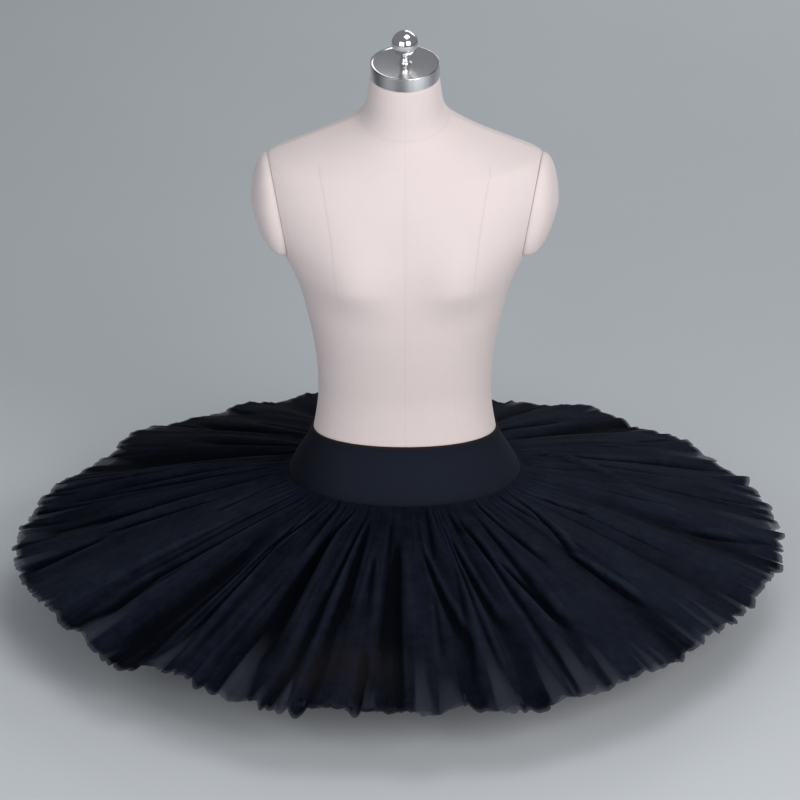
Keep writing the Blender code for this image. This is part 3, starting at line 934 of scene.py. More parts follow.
def board_finish():
    board = Finish("board", Specular_IOR_Level=0.3)
    grain = board.node(
        "ShaderNodeTexWave", {"wave_type": "BANDS", "bands_direction": "X"},
        {"Vector": board.place((1.0, 0.06, 1.0)), "Scale": 45.0, "Distortion": 5.0,
         "Detail": 3.0, "Detail Scale": 1.6},
    )
    _, _, up = board.parts(board.place())
    layers = board.math("SINE", up * PLY_WAVE)
    tone = board.blend(grain, colour(0.46, 0.33, 0.20), colour(0.60, 0.46, 0.30))
    tone = board.blend(board.spread(layers, 0.2, 0.8) * 0.25, tone, colour(0.30, 0.20, 0.12))
    return board.set(
        Base_Color=tone, Roughness=0.50 + 0.15 * grain, Normal=board.bump(grain, 0.0002, 0.5)
    )


base_board = frame["nodes"]["base_board"].copy()
base_board.data = frame["nodes"]["base_board"].data.copy()
base_board.name = "rounded_base_board"
base_board.parent = None
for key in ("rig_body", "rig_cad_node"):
    del base_board[key]
bpy.context.scene.collection.objects.link(base_board)
begin_edit(base_board, "VERT")
bpy.ops.mesh.select_all(action="SELECT")
bpy.ops.mesh.remove_doubles(threshold=0.00002)
bpy.ops.mesh.dissolve_limited(angle_limit=math.radians(1.0))
bpy.ops.mesh.normals_make_consistent(inside=False)
bpy.ops.object.mode_set(mode="OBJECT")
round_edges(base_board, BOARD_ROUND, 3, 50.0, 40.0)
base_board.data.materials.clear()
base_board.data.materials.append(board_finish())
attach(base_board, "root")
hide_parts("base_board")
print("board:", len(base_board.data.polygons), "faces")

# %% [markdown]
# ## The waistband and the hip yoke
#
# The band is a wide tube of matte stretch knit, drawn over the waist so that it lies without a
# wrinkle. Its upper edge is folded over, which gives it a soft round edge, and it is closed by a
# plain seam at the centre back. That edge is tinted a warm brown, a painted reflection of the form,
# and the seam takes half that tint. Its left end, away from the key light, is painted darker, as
# painted shade. Under it, and hidden by the net, is the plain yoke that the net is sewn to. Both are
# made as a wall with an outside and an inside, a little off the form.

# %% Knit
WALES_PER_METRE = 900.0           # columns of loops round the form
COURSES_PER_METRE = 1150.0        # rows of loops up it
# painted shade of the band's left end, away from the key light
PAINTED_SHADE_LEFT_END = (0.075, 0.130)       # how far to the left the band starts to darken, and is darkest


def knit_finish(name, low, high):
    knit = Finish(name, Specular_IOR_Level=0.08, Sheen_Weight=0.012, Sheen_Roughness=0.55)
    knit.shader.inputs["Sheen Tint"].default_value = colour(0.62, 0.68, 0.85)
    round_way, up_way, _ = knit.parts(knit.attribute("cloth", "Vector"))
    wales = knit.math("SINE", round_way * (2.0 * math.pi * WALES_PER_METRE))
    courses = knit.math("SINE", up_way * (2.0 * math.pi * COURSES_PER_METRE))
    loops = wales * 0.35 + courses * 0.25
    mottle = knit.noise(knit.place(), 14.0, 3.0, 0.6)
    lint = knit.spread(knit.noise(knit.place(), 900.0, 1.0), 0.60, 0.80)
    edge = knit.attribute("edge")
    tone = knit.blend(mottle, low, high)
    tone = knit.blend(lint * 0.12, tone, colour(0.040, 0.045, 0.058))
    # painted shade: the band is painted darker towards its left end
    across, _, _ = knit.parts(knit.place())
    painted_shade = knit.spread(0.0 - across, *PAINTED_SHADE_LEFT_END) * 0.75
    tone = knit.blend(painted_shade, tone, colour(0.0018, 0.0024, 0.0042))
    # painted reflection: a warm brown for the form, on the folded edge and half of it on the back
    # seam
    tone = knit.blend(edge, tone, colour(0.022, 0.014, 0.011))
    return knit.set(
        Base_Color=tone, Roughness=0.74 + 0.12 * mottle, Normal=knit.bump(loops, 0.00009, 0.7)
    )


# %% Band and yoke
BAND_CLEARANCE = 0.0008
BAND_WALL = 0.0020
BAND_LOW = 0.1900
BAND_HIGH = 0.2500
BAND_FRONT_RISE = 0.0065
YOKE_WALL = 0.0015
YOKE_LOW = 0.1000
EDGE_TURNS = 5
BACK_SEAM_HALF = 0.012            # half the back seam's width, as an angle
BACK_SEAM_THINNER = 0.35          # how much of the wall it draws in
FOLDED_EDGE = 0.035               # the share of the height that the folded edge shows as
CLOTH_AROUND = 320


def wall_profile(wall, edge_round, rows):
    """Outward distance and share of height once round a wall, from its lowest inside point."""
    radius = 0.5 * wall
    profile = [(0.0, share) for share in np.linspace(0.0, 1.0, rows)]
    for step in range(1, EDGE_TURNS):
        turn = math.pi * step / EDGE_TURNS
        profile.append((radius - radius * math.cos(turn), 1.0 + edge_round * math.sin(turn)))
    profile += [(wall, share) for share in np.linspace(1.0, 0.0, rows)]
    for step in range(1, EDGE_TURNS):
        turn = math.pi * step / EDGE_TURNS
        profile.append((radius + radius * math.cos(turn), -edge_round * math.sin(turn)))
    return profile


def add_tube(name, low, high, rise, wall, rows, material, edge_reflection_tint):
    """A closed wall of cloth round the form, between two heights."""
    angles = np.linspace(0.0, 2.0 * math.pi, CLOTH_AROUND, endpoint=False) - 0.5 * math.pi
    lift = rise * np.maximum(0.0, -np.sin(angles)) ** 1.5
    from_seam = np.angle(np.exp(1j * (angles - 0.5 * math.pi)))
    seam = np.exp(-(from_seam / BACK_SEAM_HALF) ** 2)
    profile = wall_profile(wall, 0.5 * wall / (high - low), rows)
    rings = []
    for outward, share in profile:
        height = low + (high + lift - low) * share
        outward = BAND_CLEARANCE + outward * (1.0 - BACK_SEAM_THINNER * seam)
        rings.append(form_points(height, angles, outward))
    grid = np.array(rings)
    count = len(grid)
    grid = np.concatenate([grid, grid[:1]])
    faces = ring_faces(count + 1, CLOTH_AROUND) % (count * CLOTH_AROUND)
    tube = add_piece(name, grid[:-1].reshape(-1, 3), faces.tolist(), material)
    face_outwards(tube)
    set_vectors(tube, "cloth", cloth_coordinates(grid[:-1]))
    shares = np.array([share for _, share in profile])
    folded = np.clip((shares - 1.0 + FOLDED_EDGE) / FOLDED_EDGE, 0.0, 1.0)
    # the folded edge's painted reflection of the form, and half of it along the back seam
    set_numbers(tube, "edge", edge_reflection_tint * np.maximum(folded[:, None], 0.5 * seam[None, :]))
    return tube


KNIT = knit_finish("knit", colour(0.0078, 0.0100, 0.0176), colour(0.0106, 0.0134, 0.0228))
YOKE_KNIT = knit_finish("yoke_knit", colour(0.0085, 0.0095, 0.014), colour(0.012, 0.013, 0.019))

waistband = add_tube(
    "stretch_waistband", BAND_LOW, BAND_HIGH, BAND_FRONT_RISE, BAND_WALL, 30, KNIT, 1.0
)
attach(waistband, "root")
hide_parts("waistband")

hip_yoke = add_tube("net_yoke", YOKE_LOW, BAND_LOW - 0.0006, 0.0, YOKE_WALL, 24, YOKE_KNIT, 0.0)
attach(hip_yoke, "root")
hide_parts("hip_yoke")
print("band:", len(waistband.data.polygons), "faces; yoke:", len(hip_yoke.data.polygons))

# %% [markdown]
# ## The plate of net
#
# Six rings of stiff net stand one below the other, each a little shorter than the one above. The
# surface is worked out on one grid of angle and distance for all six: a drooping plate, then the
# large folds that all the layers share, then each layer's own creases and gathers. A lower layer
# is never allowed to rise through the one above it, which is how real layers nest.

# %% The plain plate
NET_LAYERS = 6
NET_TOP = 0.1850
NET_SEAM_TOP = 0.1888             # the first ring is sewn on right under the band
NET_STEP = 0.0085
NET_EDGE_GAP = 0.0006
NET_HIP = (0.1470, 0.1100)
NET_REACH = 0.3430
NET_SHORTER = 0.0100
PLATE_COLUMNS = ("out", "fall", "spacing", "pleat", "fold")
PLATE_STATIONS = (
    # out    fall    spacing pleat   fold
    (0.0000, 0.0000, 0.0085, 0.0000, 0.00),
    (0.0800, 0.0180, 0.0075, 0.0030, 0.45),
    (0.2000, 0.0510, 0.0062, 0.0062, 0.85),
    (0.3430, 0.0970, 0.0052, 0.0090, 1.00),
    (0.3930, 0.1130, 0.0048, 0.0100, 1.05),
)
PLEATS = 18
BROAD_FOLDS = (
    # angle, half width and depth of each
    (50.0, 6.0, 0.010), (75.0, 5.0, 0.008), (98.0, 6.0, 0.010), (121.0, 5.0, 0.008),
    (151.0, 10.0, 0.015), (181.0, 6.0, 0.008), (211.0, 6.0, 0.007), (222.0, 7.0, 0.013),
    (243.0, 7.0, 0.015), (256.0, 5.0, 0.007), (267.0, 6.0, 0.005), (280.0, 5.0, 0.008),
    (290.0, 5.0, 0.007), (300.0, 5.0, 0.006), (317.0, 6.0, 0.008), (350.0, 6.0, 0.006),
)


def plate_value(name, out):
    return smooth_curve(
        column(PLATE_STATIONS, PLATE_COLUMNS, "out"),
        column(PLATE_STATIONS, PLATE_COLUMNS, name), out,
    )


def turn_between(angle, centre):
    """The angle from a centre, in degrees, between -180 and 180."""
    return (angle - centre + 180.0) % 360.0 - 180.0


def pleat_wave(angle):
    """The regular pleats, from -1 to 1, a little uneven in width and height."""
    turn = np.radians(angle)
    wander = 0.9 * np.sin(3.0 * turn + 0.6) + 0.5 * np.sin(5.0 * turn + 2.0)
    strength = 0.75 + 0.25 * np.sin(2.0 * turn + 1.0)
    return strength * np.cos(PLEATS * turn + wander)


def broad_drop(angle):
    """How deep the broadest folds are at an angle, at the rim."""
    drop = np.zeros_like(angle)
    for centre, half_width, depth in BROAD_FOLDS:
        off = np.minimum(np.abs(turn_between(angle, centre)) / half_width, 1.0)
        drop += depth * 0.5 * (1.0 + np.cos(math.pi * off))
    return drop


# %% [markdown]
# The folds that catch the eye are listed one by one. Each row is a trough, or a ridge where its
# depth is negative: where it starts and ends, as an angle and as a share of the way out, how wide
# and deep it is, and on which side the net stands up beside it.

# %% Folds listed one by one
FOLDS = (
    # start  end    near  far   half  depth   side
    (242.8, 244.8, 0.10, 0.74, 2.1, 0.0165, 1.0),      # the deepest valley, left of the front
    (247.0, 243.0, 0.02, 0.16, 1.0, 0.0060, 0.6),
    (255.5, 256.8, 0.08, 0.58, 1.4, 0.0085, -1.0),
    (261.0, 262.0, 0.24, 0.55, 0.9, 0.0040, 0.5),
    (263.0, 263.8, 0.70, 0.98, 1.0, 0.0050, 0.0),
    (267.6, 267.6, 0.17, 0.68, 1.9, 0.0110, 0.5),      # the wedge in the middle of the front
    (275.5, 281.5, 0.20, 0.68, 0.9, 0.0070, 0.8),
    (286.0, 288.5, 0.16, 0.62, 0.9, 0.0065, 0.8),
    (290.5, 291.5, 0.03, 0.16, 1.4, 0.0055, 0.0),
    (296.5, 301.6, 0.30, 0.70, 1.1, 0.0060, -1.0),
    (293.0, 295.0, 0.03, 0.32, 0.9, 0.0045, 0.3),
    (329.0, 317.6, 0.00, 0.40, 0.8, 0.0060, 1.0),      # the long crease on the right, which bends
    (317.6, 318.6, 0.36, 0.70, 0.8, 0.0070, 1.0),
    (335.0, 339.0, 0.02, 0.30, 0.9, 0.0050, 0.5),
    (11.0, 12.0, 0.03, 0.22, 0.8, 0.0045, 0.0),
    (30.0, 6.0, 0.12, 0.42, 2.2, -0.0065, 0.0),        # the smooth ridge on the right
    (8.0, 355.0, 0.30, 0.62, 5.0, -0.0045, 0.0),
    (350.0, 357.0, 0.60, 0.98, 1.0, 0.0040, 0.6),
    (25.0, 27.0, 0.30, 0.90, 1.5, 0.0060, 0.5),
    (47.0, 53.0, 0.10, 0.88, 2.4, 0.0090, 0.5),
    (64.0, 67.0, 0.15, 0.90, 1.8, 0.0070, -0.4),
    (85.0, 84.0, 0.10, 0.80, 2.2, 0.0080, 0.4),
    (112.0, 109.0, 0.12, 0.92, 2.6, 0.0090, 0.5),
    (132.0, 129.0, 0.08, 0.85, 2.0, 0.0085, -0.5),
    (141.0, 140.0, 0.05, 0.60, 1.2, 0.0060, -0.5),
    (148.0, 150.0, 0.03, 0.85, 5.2, 0.0135, 0.3),      # the dark valley behind on the left
    (152.5, 153.0, 0.02, 0.50, 1.0, 0.0060, 0.4),
    (165.0, 167.0, 0.20, 0.75, 1.2, 0.0045, 0.6),
    (176.0, 177.0, 0.66, 1.00, 4.0, 0.0065, 0.0),
    (181.0, 182.0, 0.05, 0.74, 1.9, 0.0100, 0.6),
    (190.0, 191.0, 0.68, 0.96, 1.0, 0.0055, 0.9),
    (193.0, 198.5, 0.02, 0.30, 1.1, 0.0060, 0.4),
    (190.0, 188.0, 0.25, 0.70, 1.0, 0.0040, 0.8),
    (216.0, 212.0, 0.02, 0.62, 1.1, 0.0070, 0.5),
    (211.5, 214.0, 0.58, 0.88, 1.4, 0.0055, -0.6),
    (224.0, 224.5, 0.28, 1.00, 4.6, 0.0110, 0.0),      # the broad valley at the front left
    (229.5, 231.6, 0.24, 0.96, 1.1, 0.0085, 1.0),
    (232.0, 228.0, 0.02, 0.30, 1.0, 0.0055, 0.5),
    (237.0, 238.0, 0.00, 0.30, 1.2, 0.0050, 0.0),
    (280.0, 279.0, 0.00, 0.26, 1.0, 0.0045, 0.0),
    (306.0, 308.0, 0.00, 0.34, 1.0, 0.0045, 0.3),
    (321.0, 322.0, 0.00, 0.22, 0.8, 0.0035, 0.0),
)


def fade(value, low, high):
    """0 below the first number, 1 above the second, with a soft step between."""
    t = np.clip((value - low) / (high - low), 0.0, 1.0)
    return t * t * (3.0 - 2.0 * t)


FOLD_OPENS = (0.65, 0.70)         # how wide a fold is at its start, and how much wider at its end
RIDGE_SHARE = 0.45                # the height of the ridge beside it, as a share of its depth
RIDGE_AWAY = 1.7                  # the middle of that ridge, in half widths of the fold
RIDGE_WIDTH = 0.9


def press_fold(angle, share, row):
    """The change of height that one fold makes over the whole grid."""
    start, end, near, far, half, depth, side = row
    along = np.clip((share - near) / (far - near), 0.0, 1.0)
    centre = start + turn_between(end, start) * along
    off = turn_between(angle, centre) / (half * (FOLD_OPENS[0] + FOLD_OPENS[1] * along))
    run = max(0.06, 0.28 * (far - near))
    strength = fade(share, near - 0.3 * run, near + run)
    strength = strength * (1.0 - fade(share, far - run, far + 0.6 * run))
    trough = -depth * np.exp(-off * off)
    beside = RIDGE_SHARE * abs(side) * abs(depth)
    ridge = beside * np.exp(-((off - RIDGE_AWAY * np.sign(side)) / RIDGE_WIDTH) ** 2)
    return strength * (trough + ridge)


# %% [markdown]
# Between them lie the many smaller creases that gathering leaves: crisp, narrow troughs between
# nearly flat panels. They are drawn from a seeded generator, so they come out the same each time.
# Most start at the seam and some further out. On the right the net is smooth, so a second table
# says how strong the creases are round the plate.

# %% Creases and gathers
CALM_COLUMNS = ("angle", "strength")
CALM = (
    (0.0, 0.45), (30.0, 0.70), (60.0, 1.00), (120.0, 1.10), (170.0, 0.90), (200.0, 0.80),
    (225.0, 1.00), (245.0, 1.15), (270.0, 1.15), (290.0, 1.00), (305.0, 0.60), (330.0, 0.35),
)


def read_round(rows, columns, name, angle):
    """Read a column of a table of angles at any angle, all the way round."""
    angles = column(rows, columns, "angle")
    return np.interp(angle, angles, column(rows, columns, name), period=360.0)


def random_creases(rng, count, near, length, half, depth):
    """Rows like the listed ones, spaced unevenly all round."""
    gaps = rng.uniform(0.45, 1.6, count)
    starts = np.cumsum(gaps) / gaps.sum() * 360.0 + rng.uniform(0.0, 360.0)
    rows = []
    for start in starts % 360.0:
        begin = rng.uniform(*near)
        reach = rng.uniform(*length)
        calm = float(read_round(CALM, CALM_COLUMNS, "strength", start))
        strength = calm * (0.15 + 1.5 * rng.uniform(0.0, 1.0) ** 1.8)
        rows.append((
            float(start), float(start + rng.normal(0.0, 1.6)), begin, begin + reach,
            rng.uniform(*half), depth * strength, rng.uniform(-1.0, 1.0),
        ))
    return rows


def gather_wave(rng, angle, share, count, depth, far):
    """Fine upright gathers by the seam, which open out and vanish."""
    wander = sum(
        rng.uniform(0.4, 1.4) * np.sin(n * np.radians(angle) + rng.uniform(0.0, 6.28))
        for n in (2, 3, 5, 7, 11)
    )
    height = 0.65 + 0.35 * np.sin(13.0 * np.radians(angle) + 2.0 * wander)
    wave = height * np.cos(count * np.radians(angle) + 2.2 * wander)
    return depth * wave * fade(share, 0.0, 0.05) * (1.0 - fade(share, 0.05, far))


# %% [markdown]
# The rim is cut by hand and never quite even. One table says how far it stands out or in round
# the plate, and each layer adds its own lips: tongues of net with rounded ends between shallow
# notches, which lift and droop a little.

# %% The rim
RIM_COLUMNS = ("angle", "extra")
RIM_OUTLINE = (
    (6.0, -0.005), (17.0, -0.009), (31.0, -0.005), (45.0, 0.008), (56.0, 0.012), (74.0, -0.014),
    (92.0, 0.002), (108.0, 0.013), (128.0, 0.015), (137.0, 0.018), (144.0, -0.006),
    (150.0, 0.008), (162.0, 0.001), (177.0, 0.010), (199.0, 0.004), (211.0, -0.010),
    (222.0, 0.003), (231.0, -0.016), (240.0, -0.010), (252.0, 0.004), (260.0, -0.005),
    (270.0, -0.006), (275.0, 0.006), (279.0, -0.014), (283.0, 0.002), (290.0, 0.003),
    (297.0, -0.006), (303.0, -0.004), (321.0, -0.015), (333.0, -0.016), (345.0, -0.013),
    (355.0, -0.010),
)


def cut_lips(rng, angle, count, notch):
    """How far the rim is cut back, and how far it is lifted, at each angle."""
    gaps = rng.uniform(0.35, 1.9, count)
    edges = np.concatenate([[0.0], np.cumsum(gaps) / gaps.sum() * 360.0])
    shift = rng.uniform(0.0, 360.0)
    turned = (angle - shift) % 360.0
    number = np.clip(np.searchsorted(edges, turned, side="right") - 1, 0, count - 1)
    width = edges[number + 1] - edges[number]
    t = (turned - edges[number]) / width
    skew = rng.uniform(0.75, 1.35, count)[number]
    middle = np.abs(2.0 * t ** skew - 1.0)
    deep = rng.uniform(0.35, 1.0, count)[number] * np.clip(width / 5.0, 0.5, 1.4)
    level = rng.normal(0.0, 0.30, count)[number]
    cut = notch * (deep * middle ** 3.2 + level * (1.0 - middle ** 2))
    lift = rng.normal(0.0, 1.0, count)[number] * (1.0 - middle ** 2)
    return cut, lift


# %% [markdown]
# ## Net
#
# Black net is never one black. In its folds it is painted a deep navy black, as painted shade,
# and on the crowns of its panels it is painted a dull blue grey, as painted light. Threads and fine
# crinkles run outwards from the waist, so the streaks are read from coordinates that run round the
# plate and along it. At the rim only one or two layers are left, and the light comes through;
# there the net is also painted lighter, as painted light.

# %% The net finish
def net_finish(name, lift):
    net = Finish(
        name, Specular_IOR_Level=0.04, Sheen_Weight=0.012, Sheen_Roughness=0.45, IOR=1.3
    )
    net.shader.inputs["Sheen Tint"].default_value = colour(0.50, 0.58, 0.80)
    weft = net.attribute("weft", "Vector")
    relief = net.attribute("relief")
    cover = net.attribute("cover")
    warm = net.attribute("warm")
    thin = net.attribute("thin")
    streaks = net.noise(net.place((60.0, 60.0, 3.0), weft), 1.0, 3.0, 0.65)
    hairs = net.noise(net.place((190.0, 190.0, 5.0), weft), 1.0, 2.0, 0.6)
    mottle = net.noise(net.place(), 20.0, 3.0, 0.6)
    crinkle = net.noise(net.place((1.0, 1.0, 1.6)), 62.0, 5.0, 0.72)
    specks = net.noise(net.place(), 520.0, 2.0, 0.6)
    cells = net.node(
        "ShaderNodeTexVoronoi", {"feature": "DISTANCE_TO_EDGE"},
        {"Vector": net.place(), "Scale": 620.0}, 0,
    )
    threads = 1.0 - net.spread(cells, 0.02, 0.22)
    # painted shade and highlight from the relief; the noises are the net's own uneven tone
    light = relief * 0.76 + (streaks - 0.5) * 0.20 + (hairs - 0.5) * 0.26 + (mottle - 0.5) * 0.52
    light = net.clamp(light + (crinkle - 0.5) * 0.52 + (specks - 0.5) * 0.16 + lift)
    tone = net.node(
        "ShaderNodeValToRGB",
        {"stops": [
            (0.00, colour(0.0005, 0.0009, 0.0022)),
            (0.28, colour(0.0034, 0.0044, 0.0090)),
            (0.58, colour(0.0084, 0.0108, 0.0192)),
            (1.00, colour(0.0182, 0.0228, 0.0368)),
        ]},
        {0: light},
    )
    # painted light: a warm patch at the front stands in for warm colour seen through the net
    tone = net.blend(warm * 0.55, tone, colour(0.0120, 0.0100, 0.0098))
    tone = net.blend(threads * 0.10, tone, colour(0.016, 0.019, 0.029))
    # painted light: thin net is painted a lighter grey, as well as being see-through
    tone = net.blend(thin * 0.85, tone, colour(0.032, 0.036, 0.049))
    normal = net.bump(threads, 0.00022, 0.35)
    normal = net.bump(streaks * 0.6 + hairs * 0.3 + crinkle * 1.2, 0.0022, 0.6, normal)
    return net.set(
        Base_Color=tone, Alpha=cover, Roughness=0.62 + 0.22 * mottle, Normal=normal
    )


# %% [markdown]
# ## Sewing the six layers
#
# Each layer starts on the yoke with its gathers, takes the plate's height on the shared grid, and
# is cut off at its own rim. The relief that the net finish reads is how far a point lies above or
# below the cloth round it; from it the creases are painted dark, as painted shade, and the crowns
# of the panels lighter, as painted light. Narrow crests get a little painted highlight, and narrow
# creases are painted darker still.
# At the back and the left the net is painted darker all over, as painted shade away from the key
# light.

# %% Heights on the shared grid
GRID_AROUND = 1320
GRID_OUT = 150
GRID_REACH = 0.3930
LAYER_GAP = 0.0010
PLEAT_SHARE = 0.38           # stiff net softens the regular pleats
BROAD_SHARE = 0.70           # and the broadest folds

grid_angle = np.linspace(0.0, 360.0, GRID_AROUND, endpoint=False)[:, None]
grid_out = np.linspace(0.0, GRID_REACH, GRID_OUT)[None, :]
grid_share = grid_out / NET_REACH

shared = np.zeros((GRID_AROUND, GRID_OUT))
for fold in FOLDS:
    shared += press_fold(grid_angle, grid_share, fold)
shared += PLEAT_SHARE * plate_value("pleat", grid_out) * pleat_wave(grid_angle)
shared -= BROAD_SHARE * plate_value("fold", grid_out) * broad_drop(grid_angle)
print("shared folds from", round(shared.min(), 4), "to", round(shared.max(), 4))


CREASES = (
    # count  where they start  how long       half width    depth
    (52, (-0.05, 0.06), (0.45, 1.10), (0.45, 1.1), 0.0036),    # from the seam
    (40, (0.15, 0.50), (0.25, 0.70), (0.40, 0.9), 0.0028),     # in the middle
    (46, (0.66, 0.82), (0.30, 0.50), (0.40, 0.8), 0.0026),     # at the rim
)
GATHERS = ((97, 0.0009, 0.30), (170, 0.0006, 0.15))    # count, depth and how far out they fade
HIDDEN_LAYER = 0.75                                    # the size of a lower layer's own folds
FOLD_SEED = 40


def own_folds(layer):
    """One layer's own creases and gathers on the shared grid."""
    rng = np.random.default_rng(FOLD_SEED + layer)
    own = np.zeros_like(shared)
    size = 1.0 if layer == 0 else HIDDEN_LAYER
    rows = []
    for count, near, length, half, depth in CREASES:
        rows += random_creases(rng, count, near, length, half, depth * size)
    for row in rows:
        own += press_fold(grid_angle, grid_share, row)
    for count, depth, far in GATHERS:
        own += gather_wave(rng, grid_angle, grid_share, count, depth * size, far)
    return own


heights = []
for layer in range(NET_LAYERS):
    level = NET_TOP - plate_value("fall", grid_out) - layer * plate_value("spacing", grid_out)
    surface = level + shared + own_folds(layer)
    if heights:
        surface = np.minimum(surface, heights[-1] - LAYER_GAP)
    heights.append(surface)
print("rim heights:", [round(float(surface[:, 130].mean()), 4) for surface in heights])


# %% Relief
def blur_round(values, degrees):
    """Smooth a grid of rings round the plate."""
    count = values.shape[0]
    frequency = np.fft.rfftfreq(count, d=360.0 / count)
    kernel = np.exp(-2.0 * (math.pi * degrees * frequency) ** 2)
    return np.fft.irfft(np.fft.rfft(values, axis=0) * kernel[:, None], n=count, axis=0)


CROWN = 0.66                      # the relief of a flat panel
RELIEF_SCALES = (
    # degrees  height  share
    (1.6, 0.0034, 0.32), (4.0, 0.0070, 0.42), (10.0, 0.0150, 0.28),
)
RELIEF_UP = 0.38                  # how much a crown counts
RELIEF_DOWN = 1.05                # and a trough
CRISP_SCALE = (0.55, 0.0008)      # the narrow crests and creases, in degrees and metres
# Painted highlight and shade: from which height a crest is painted lighter or a crease darker, and
# how much.
FOLD_GLEAM = (0.50, 0.20)
CREST_GLEAM = (0.35, 0.30)
CREASE_LOSS = (0.35, 0.22)
# painted shade round the plate: how much darker the net is painted at each angle
PAINTED_SHADE_COLUMNS = ("angle", "darker")
PAINTED_SHADE_ROUND_PLATE = (
    (5.0, -0.03), (35.0, 0.04), (55.0, 0.12), (85.0, 0.30), (125.0, 0.46), (150.0, 0.50),
    (165.0, 0.30), (182.0, 0.27), (194.0, 0.05), (207.0, 0.01), (215.0, 0.20), (235.0, 0.34),
    (250.0, 0.32), (270.0, 0.27), (290.0, 0.20), (305.0, 0.08), (325.0, -0.01),
)


def light_past(level, least, share):
    return share * np.clip(level - least, 0.0, 1.0)


def relief_shade_of(surface):
    """How far points lie above (to 1) or below (to 0) the net round them, less painted side shade.
    """
    levels = [(surface - blur_round(surface, wide)) / tall for wide, tall, _ in RELIEF_SCALES]
    above = sum(scale[2] * level for scale, level in zip(RELIEF_SCALES, levels))
    crisp = (surface - blur_round(surface, CRISP_SCALE[0])) / CRISP_SCALE[1]
    gleam = light_past(levels[0], *FOLD_GLEAM) + light_past(crisp, *CREST_GLEAM)
    gleam -= light_past(-crisp, *CREASE_LOSS)
    weight = np.where(above > 0.0, RELIEF_UP, RELIEF_DOWN)
    # painted light and shade: crowns and crests lighter, troughs and creases darker
    relief = np.clip(CROWN + weight * above + gleam, 0.0, 1.0)
    return relief - read_round(PAINTED_SHADE_ROUND_PLATE, PAINTED_SHADE_COLUMNS, "darker", grid_angle)


# %% [markdown]
# The layers do not reach the rim together, so here and there the net is thin for some way in: it is
# see-through there and also painted lighter, as painted light, so it looks like a light wedge. The
# widest are listed, each with one sharp side and one that fades, and faint ones between them are
# drawn from the layer's own generator.

# %% Light wedges at the rim
WEDGES = (
    # angle, half width, strength and the side that is sharp, of each
    (217.0, 3.4, 0.9, 1.0), (231.5, 1.8, 1.2, 1.0), (243.4, 3.6, 1.5, -1.0),
    (252.3, 1.3, 0.8, -1.0), (264.0, 1.0, 0.6, -1.0),
    (272.0, 2.2, 1.2, -1.0), (275.6, 3.0, 0.75, -1.0),
    (283.8, 2.8, 1.3, -1.0), (291.6, 1.9, 1.1, -1.0), (296.8, 2.8, 1.3, -1.0),
    (301.5, 1.9, 1.0, -1.0), (309.0, 1.3, 0.7, 1.0), (319.0, 1.2, 0.8, -1.0),
    (323.5, 1.4, 0.9, -1.0), (327.0, 1.2, 0.8, 1.0), (333.0, 1.2, 0.6, -1.0),
    (346.0, 1.5, 0.8, 1.0), (4.5, 3.8, 1.3, 1.0), (10.0, 1.2, 0.8, -1.0), (15.0, 1.6, 0.8, 1.0),
    (21.5, 1.1, 0.8, -1.0), (32.0, 2.8, 1.3, -1.0), (48.0, 1.5, 0.7, 1.0), (70.0, 1.8, 0.8, -1.0),
    (95.0, 2.2, 0.9, 1.0), (120.0, 3.0, 0.8, -1.0), (135.0, 2.0, 0.9, 1.0), (148.0, 2.2, 0.8, 1.0),
    (161.0, 1.5, 0.6, -1.0), (172.0, 2.0, 0.8, 1.0), (180.0, 3.2, 0.7, 1.0), (188.5, 1.8, 0.8, -1.0),
)
WEDGE_LENGTH = 0.082
RIM_LIGHT = 0.008                 # how far in the rim is thin everywhere
FAINT_WEDGES = 54
WEDGE_SHARP = 3.0                 # how fast a wedge ends on its sharp side
WEDGE_SOFT = 0.9                  # and fades on the other


def light_wedges(rng, angle):
    """How far in the net is thin at each angle, in lengths of a wedge."""
    wedges = list(WEDGES)
    for _ in range(FAINT_WEDGES):
        wedges.append((
            rng.uniform(0.0, 360.0), rng.uniform(0.4, 1.3), rng.uniform(0.15, 0.6),
            rng.choice((-1.0, 1.0)),
        ))
    total = np.zeros_like(angle)
    for place, half, strength, sharp in wedges:
        off = turn_between(angle, place) * sharp / half
        off = np.where(off > 0.0, WEDGE_SHARP * off, -WEDGE_SOFT * off)
        total = np.maximum(total, strength * np.clip(1.6 * (1.0 - off), 0.0, 1.0))
    return total


# %% Sew on each layer
LAYER_ROWS = (72, 42, 42, 42, 42, 42)
LAYER_AROUND = (1320, 880, 880, 880, 880, 880)
LIPS = 104
FINE_LIPS = 260
NOTCH = 0.0085
FINE_NOTCH = 0.35 * NOTCH
LIP_LIFT = 0.0030
SEAM_HOLD = 0.014                 # how far out the seam still shapes the net
EDGE_CLEAR = 0.24                 # how see-through the cut edge is
WEDGE_CLEAR = (0.05, 0.12)        # and the thin net within it, in a faint wedge and a strong one
RIM_SEED = 70
# painted light: a warm patch at the front, for warm colour seen through the net
PAINTED_WARM_PATCH = (260.0, 9.0, 0.80, 0.11)       # angle and share of its middle, and their spreads


def seam_points(layer, angle):
    """The gathered edge on the yoke."""
    height = NET_SEAM_TOP - layer * NET_STEP
    outward = BAND_CLEARANCE + YOKE_WALL + NET_EDGE_GAP
    return form_points(height, np.radians(angle), outward)


def read_grid(values, angle_numbers, out):
    """Read a grid at whole columns and any distance out."""
    place = np.clip(out / GRID_REACH * (GRID_OUT - 1), 0.0, GRID_OUT - 1.001)
    low = place.astype(int)
    share = place - low
    picked = values[angle_numbers]
    rows = np.arange(len(angle_numbers))[:, None]
    return picked[rows, low] * (1.0 - share) + picked[rows, low + 1] * share


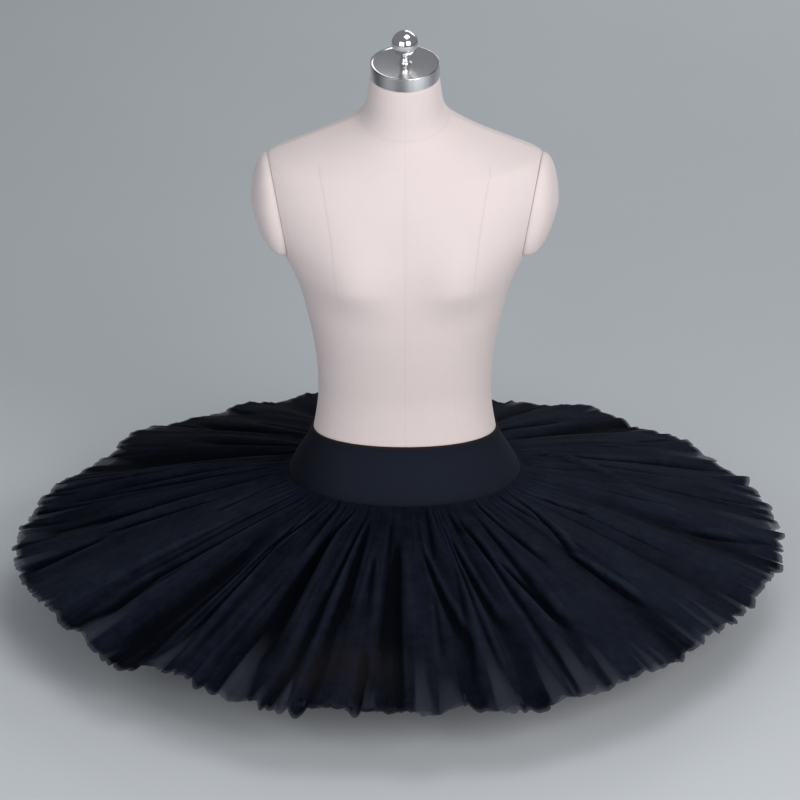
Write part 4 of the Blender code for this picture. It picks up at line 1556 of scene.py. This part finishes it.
def mark_net(piece, layer, numbers, share, out, reach, rng):
    """Give each point what the net finish reads: painted shade and light, cover, warm tint, thread
    way.
    """
    angle = grid_angle[numbers, 0]
    set_numbers(piece, "relief", read_grid(relief_shade_of(heights[layer]), numbers, out).T)
    to_rim = (reach[:, None] - out).T
    wedges = light_wedges(rng, angle)[None, :]
    # thinness: it makes the net see-through, and the net finish paints it lighter
    thin = 1.0 - fade(to_rim, 0.0, RIM_LIGHT + WEDGE_LENGTH * wedges)
    thin = np.minimum(1.0, thin * (0.35 + 0.65 * wedges))
    set_numbers(piece, "thin", thin)
    edge_light = 1.0 - fade(to_rim, 0.0, RIM_LIGHT)
    clear = EDGE_CLEAR * edge_light + thin * (WEDGE_CLEAR[0] + WEDGE_CLEAR[1] * wedges)
    set_numbers(piece, "cover", 1.0 - clear)
    centre, wide, middle, deep = PAINTED_WARM_PATCH
    off = turn_between(angle[None, :], centre) / wide
    patch = np.exp(-off * off - ((share[:, None] - middle) / deep) ** 2)
    set_numbers(piece, "warm", patch)
    turn = np.radians(angle)[None, :]
    along = share[:, None] + 3.0 * layer
    weft = np.stack(np.broadcast_arrays(np.cos(turn), np.sin(turn), along), axis=-1)
    set_vectors(piece, "weft", weft.reshape(-1, 3))


def add_net_layer(layer, material):
    """One gathered ring of net, from its seam on the yoke to its rim."""
    rng = np.random.default_rng(RIM_SEED + layer)
    around = LAYER_AROUND[layer]
    numbers = (np.arange(around) * GRID_AROUND) // around
    angle = grid_angle[numbers, 0]
    cut, lift = cut_lips(rng, angle, LIPS, NOTCH)
    fine_cut, fine_lift = cut_lips(rng, angle, FINE_LIPS, FINE_NOTCH)
    extra = read_round(RIM_OUTLINE, RIM_COLUMNS, "extra", angle)
    reach = NET_REACH - layer * NET_SHORTER + extra - cut - fine_cut
    t = np.linspace(0.0, 1.0, LAYER_ROWS[layer])
    share = 0.5 * t + 0.5 * (1.0 - (1.0 - t) ** 1.6)      # rows lie closer towards the rim
    out = share[None, :] * reach[:, None]
    height = read_grid(heights[layer], numbers, out)
    edge = fade(share, 0.80, 1.0)[None, :]
    height = height + LIP_LIFT * edge * (lift + 0.4 * fine_lift)[:, None]
    turn = np.radians(angle)[:, None]
    x = (NET_HIP[0] + out) * np.cos(turn)
    y = (NET_HIP[1] + out) * np.sin(turn)
    points = np.stack([x, y, height], axis=-1)
    at_seam = seam_points(layer, angle)
    hold = (1.0 - fade(out, 0.0, SEAM_HOLD))[:, :, None]
    points = points * (1.0 - hold) + at_seam[:, None, :] * hold
    points = points.transpose(1, 0, 2).reshape(-1, 3)
    faces = ring_faces(LAYER_ROWS[layer], around, turn=True).tolist()
    piece = add_piece("net_ring_%d" % (layer + 1), points, faces, material)
    mark_net(piece, layer, numbers, share, out, reach, rng)
    return piece


# Each layer's length along the rim and along the seam, and how much shorter each next one is.
RIM_CUT = (3.45, 0.08)
SEAM_CUT = (2.05, 0.03)
NET_SEAM_ALLOWANCE = 0.013


def area_of(piece):
    return sum(face.area for face in piece.data.polygons)


NET = net_finish("net", 0.015)
for layer in range(NET_LAYERS):
    ring = add_net_layer(layer, NET)
    depth = NET_REACH + NET_SEAM_ALLOWANCE - layer * NET_SHORTER
    longest = RIM_CUT[0] - RIM_CUT[1] * layer
    shortest = SEAM_CUT[0] - SEAM_CUT[1] * layer
    cut_area = 0.5 * (longest + shortest) * depth
    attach(ring, "root")
    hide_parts("net_layer_%d" % (layer + 1))
    print(ring.name, "area", round(area_of(ring), 3), "of", round(cut_area, 3))
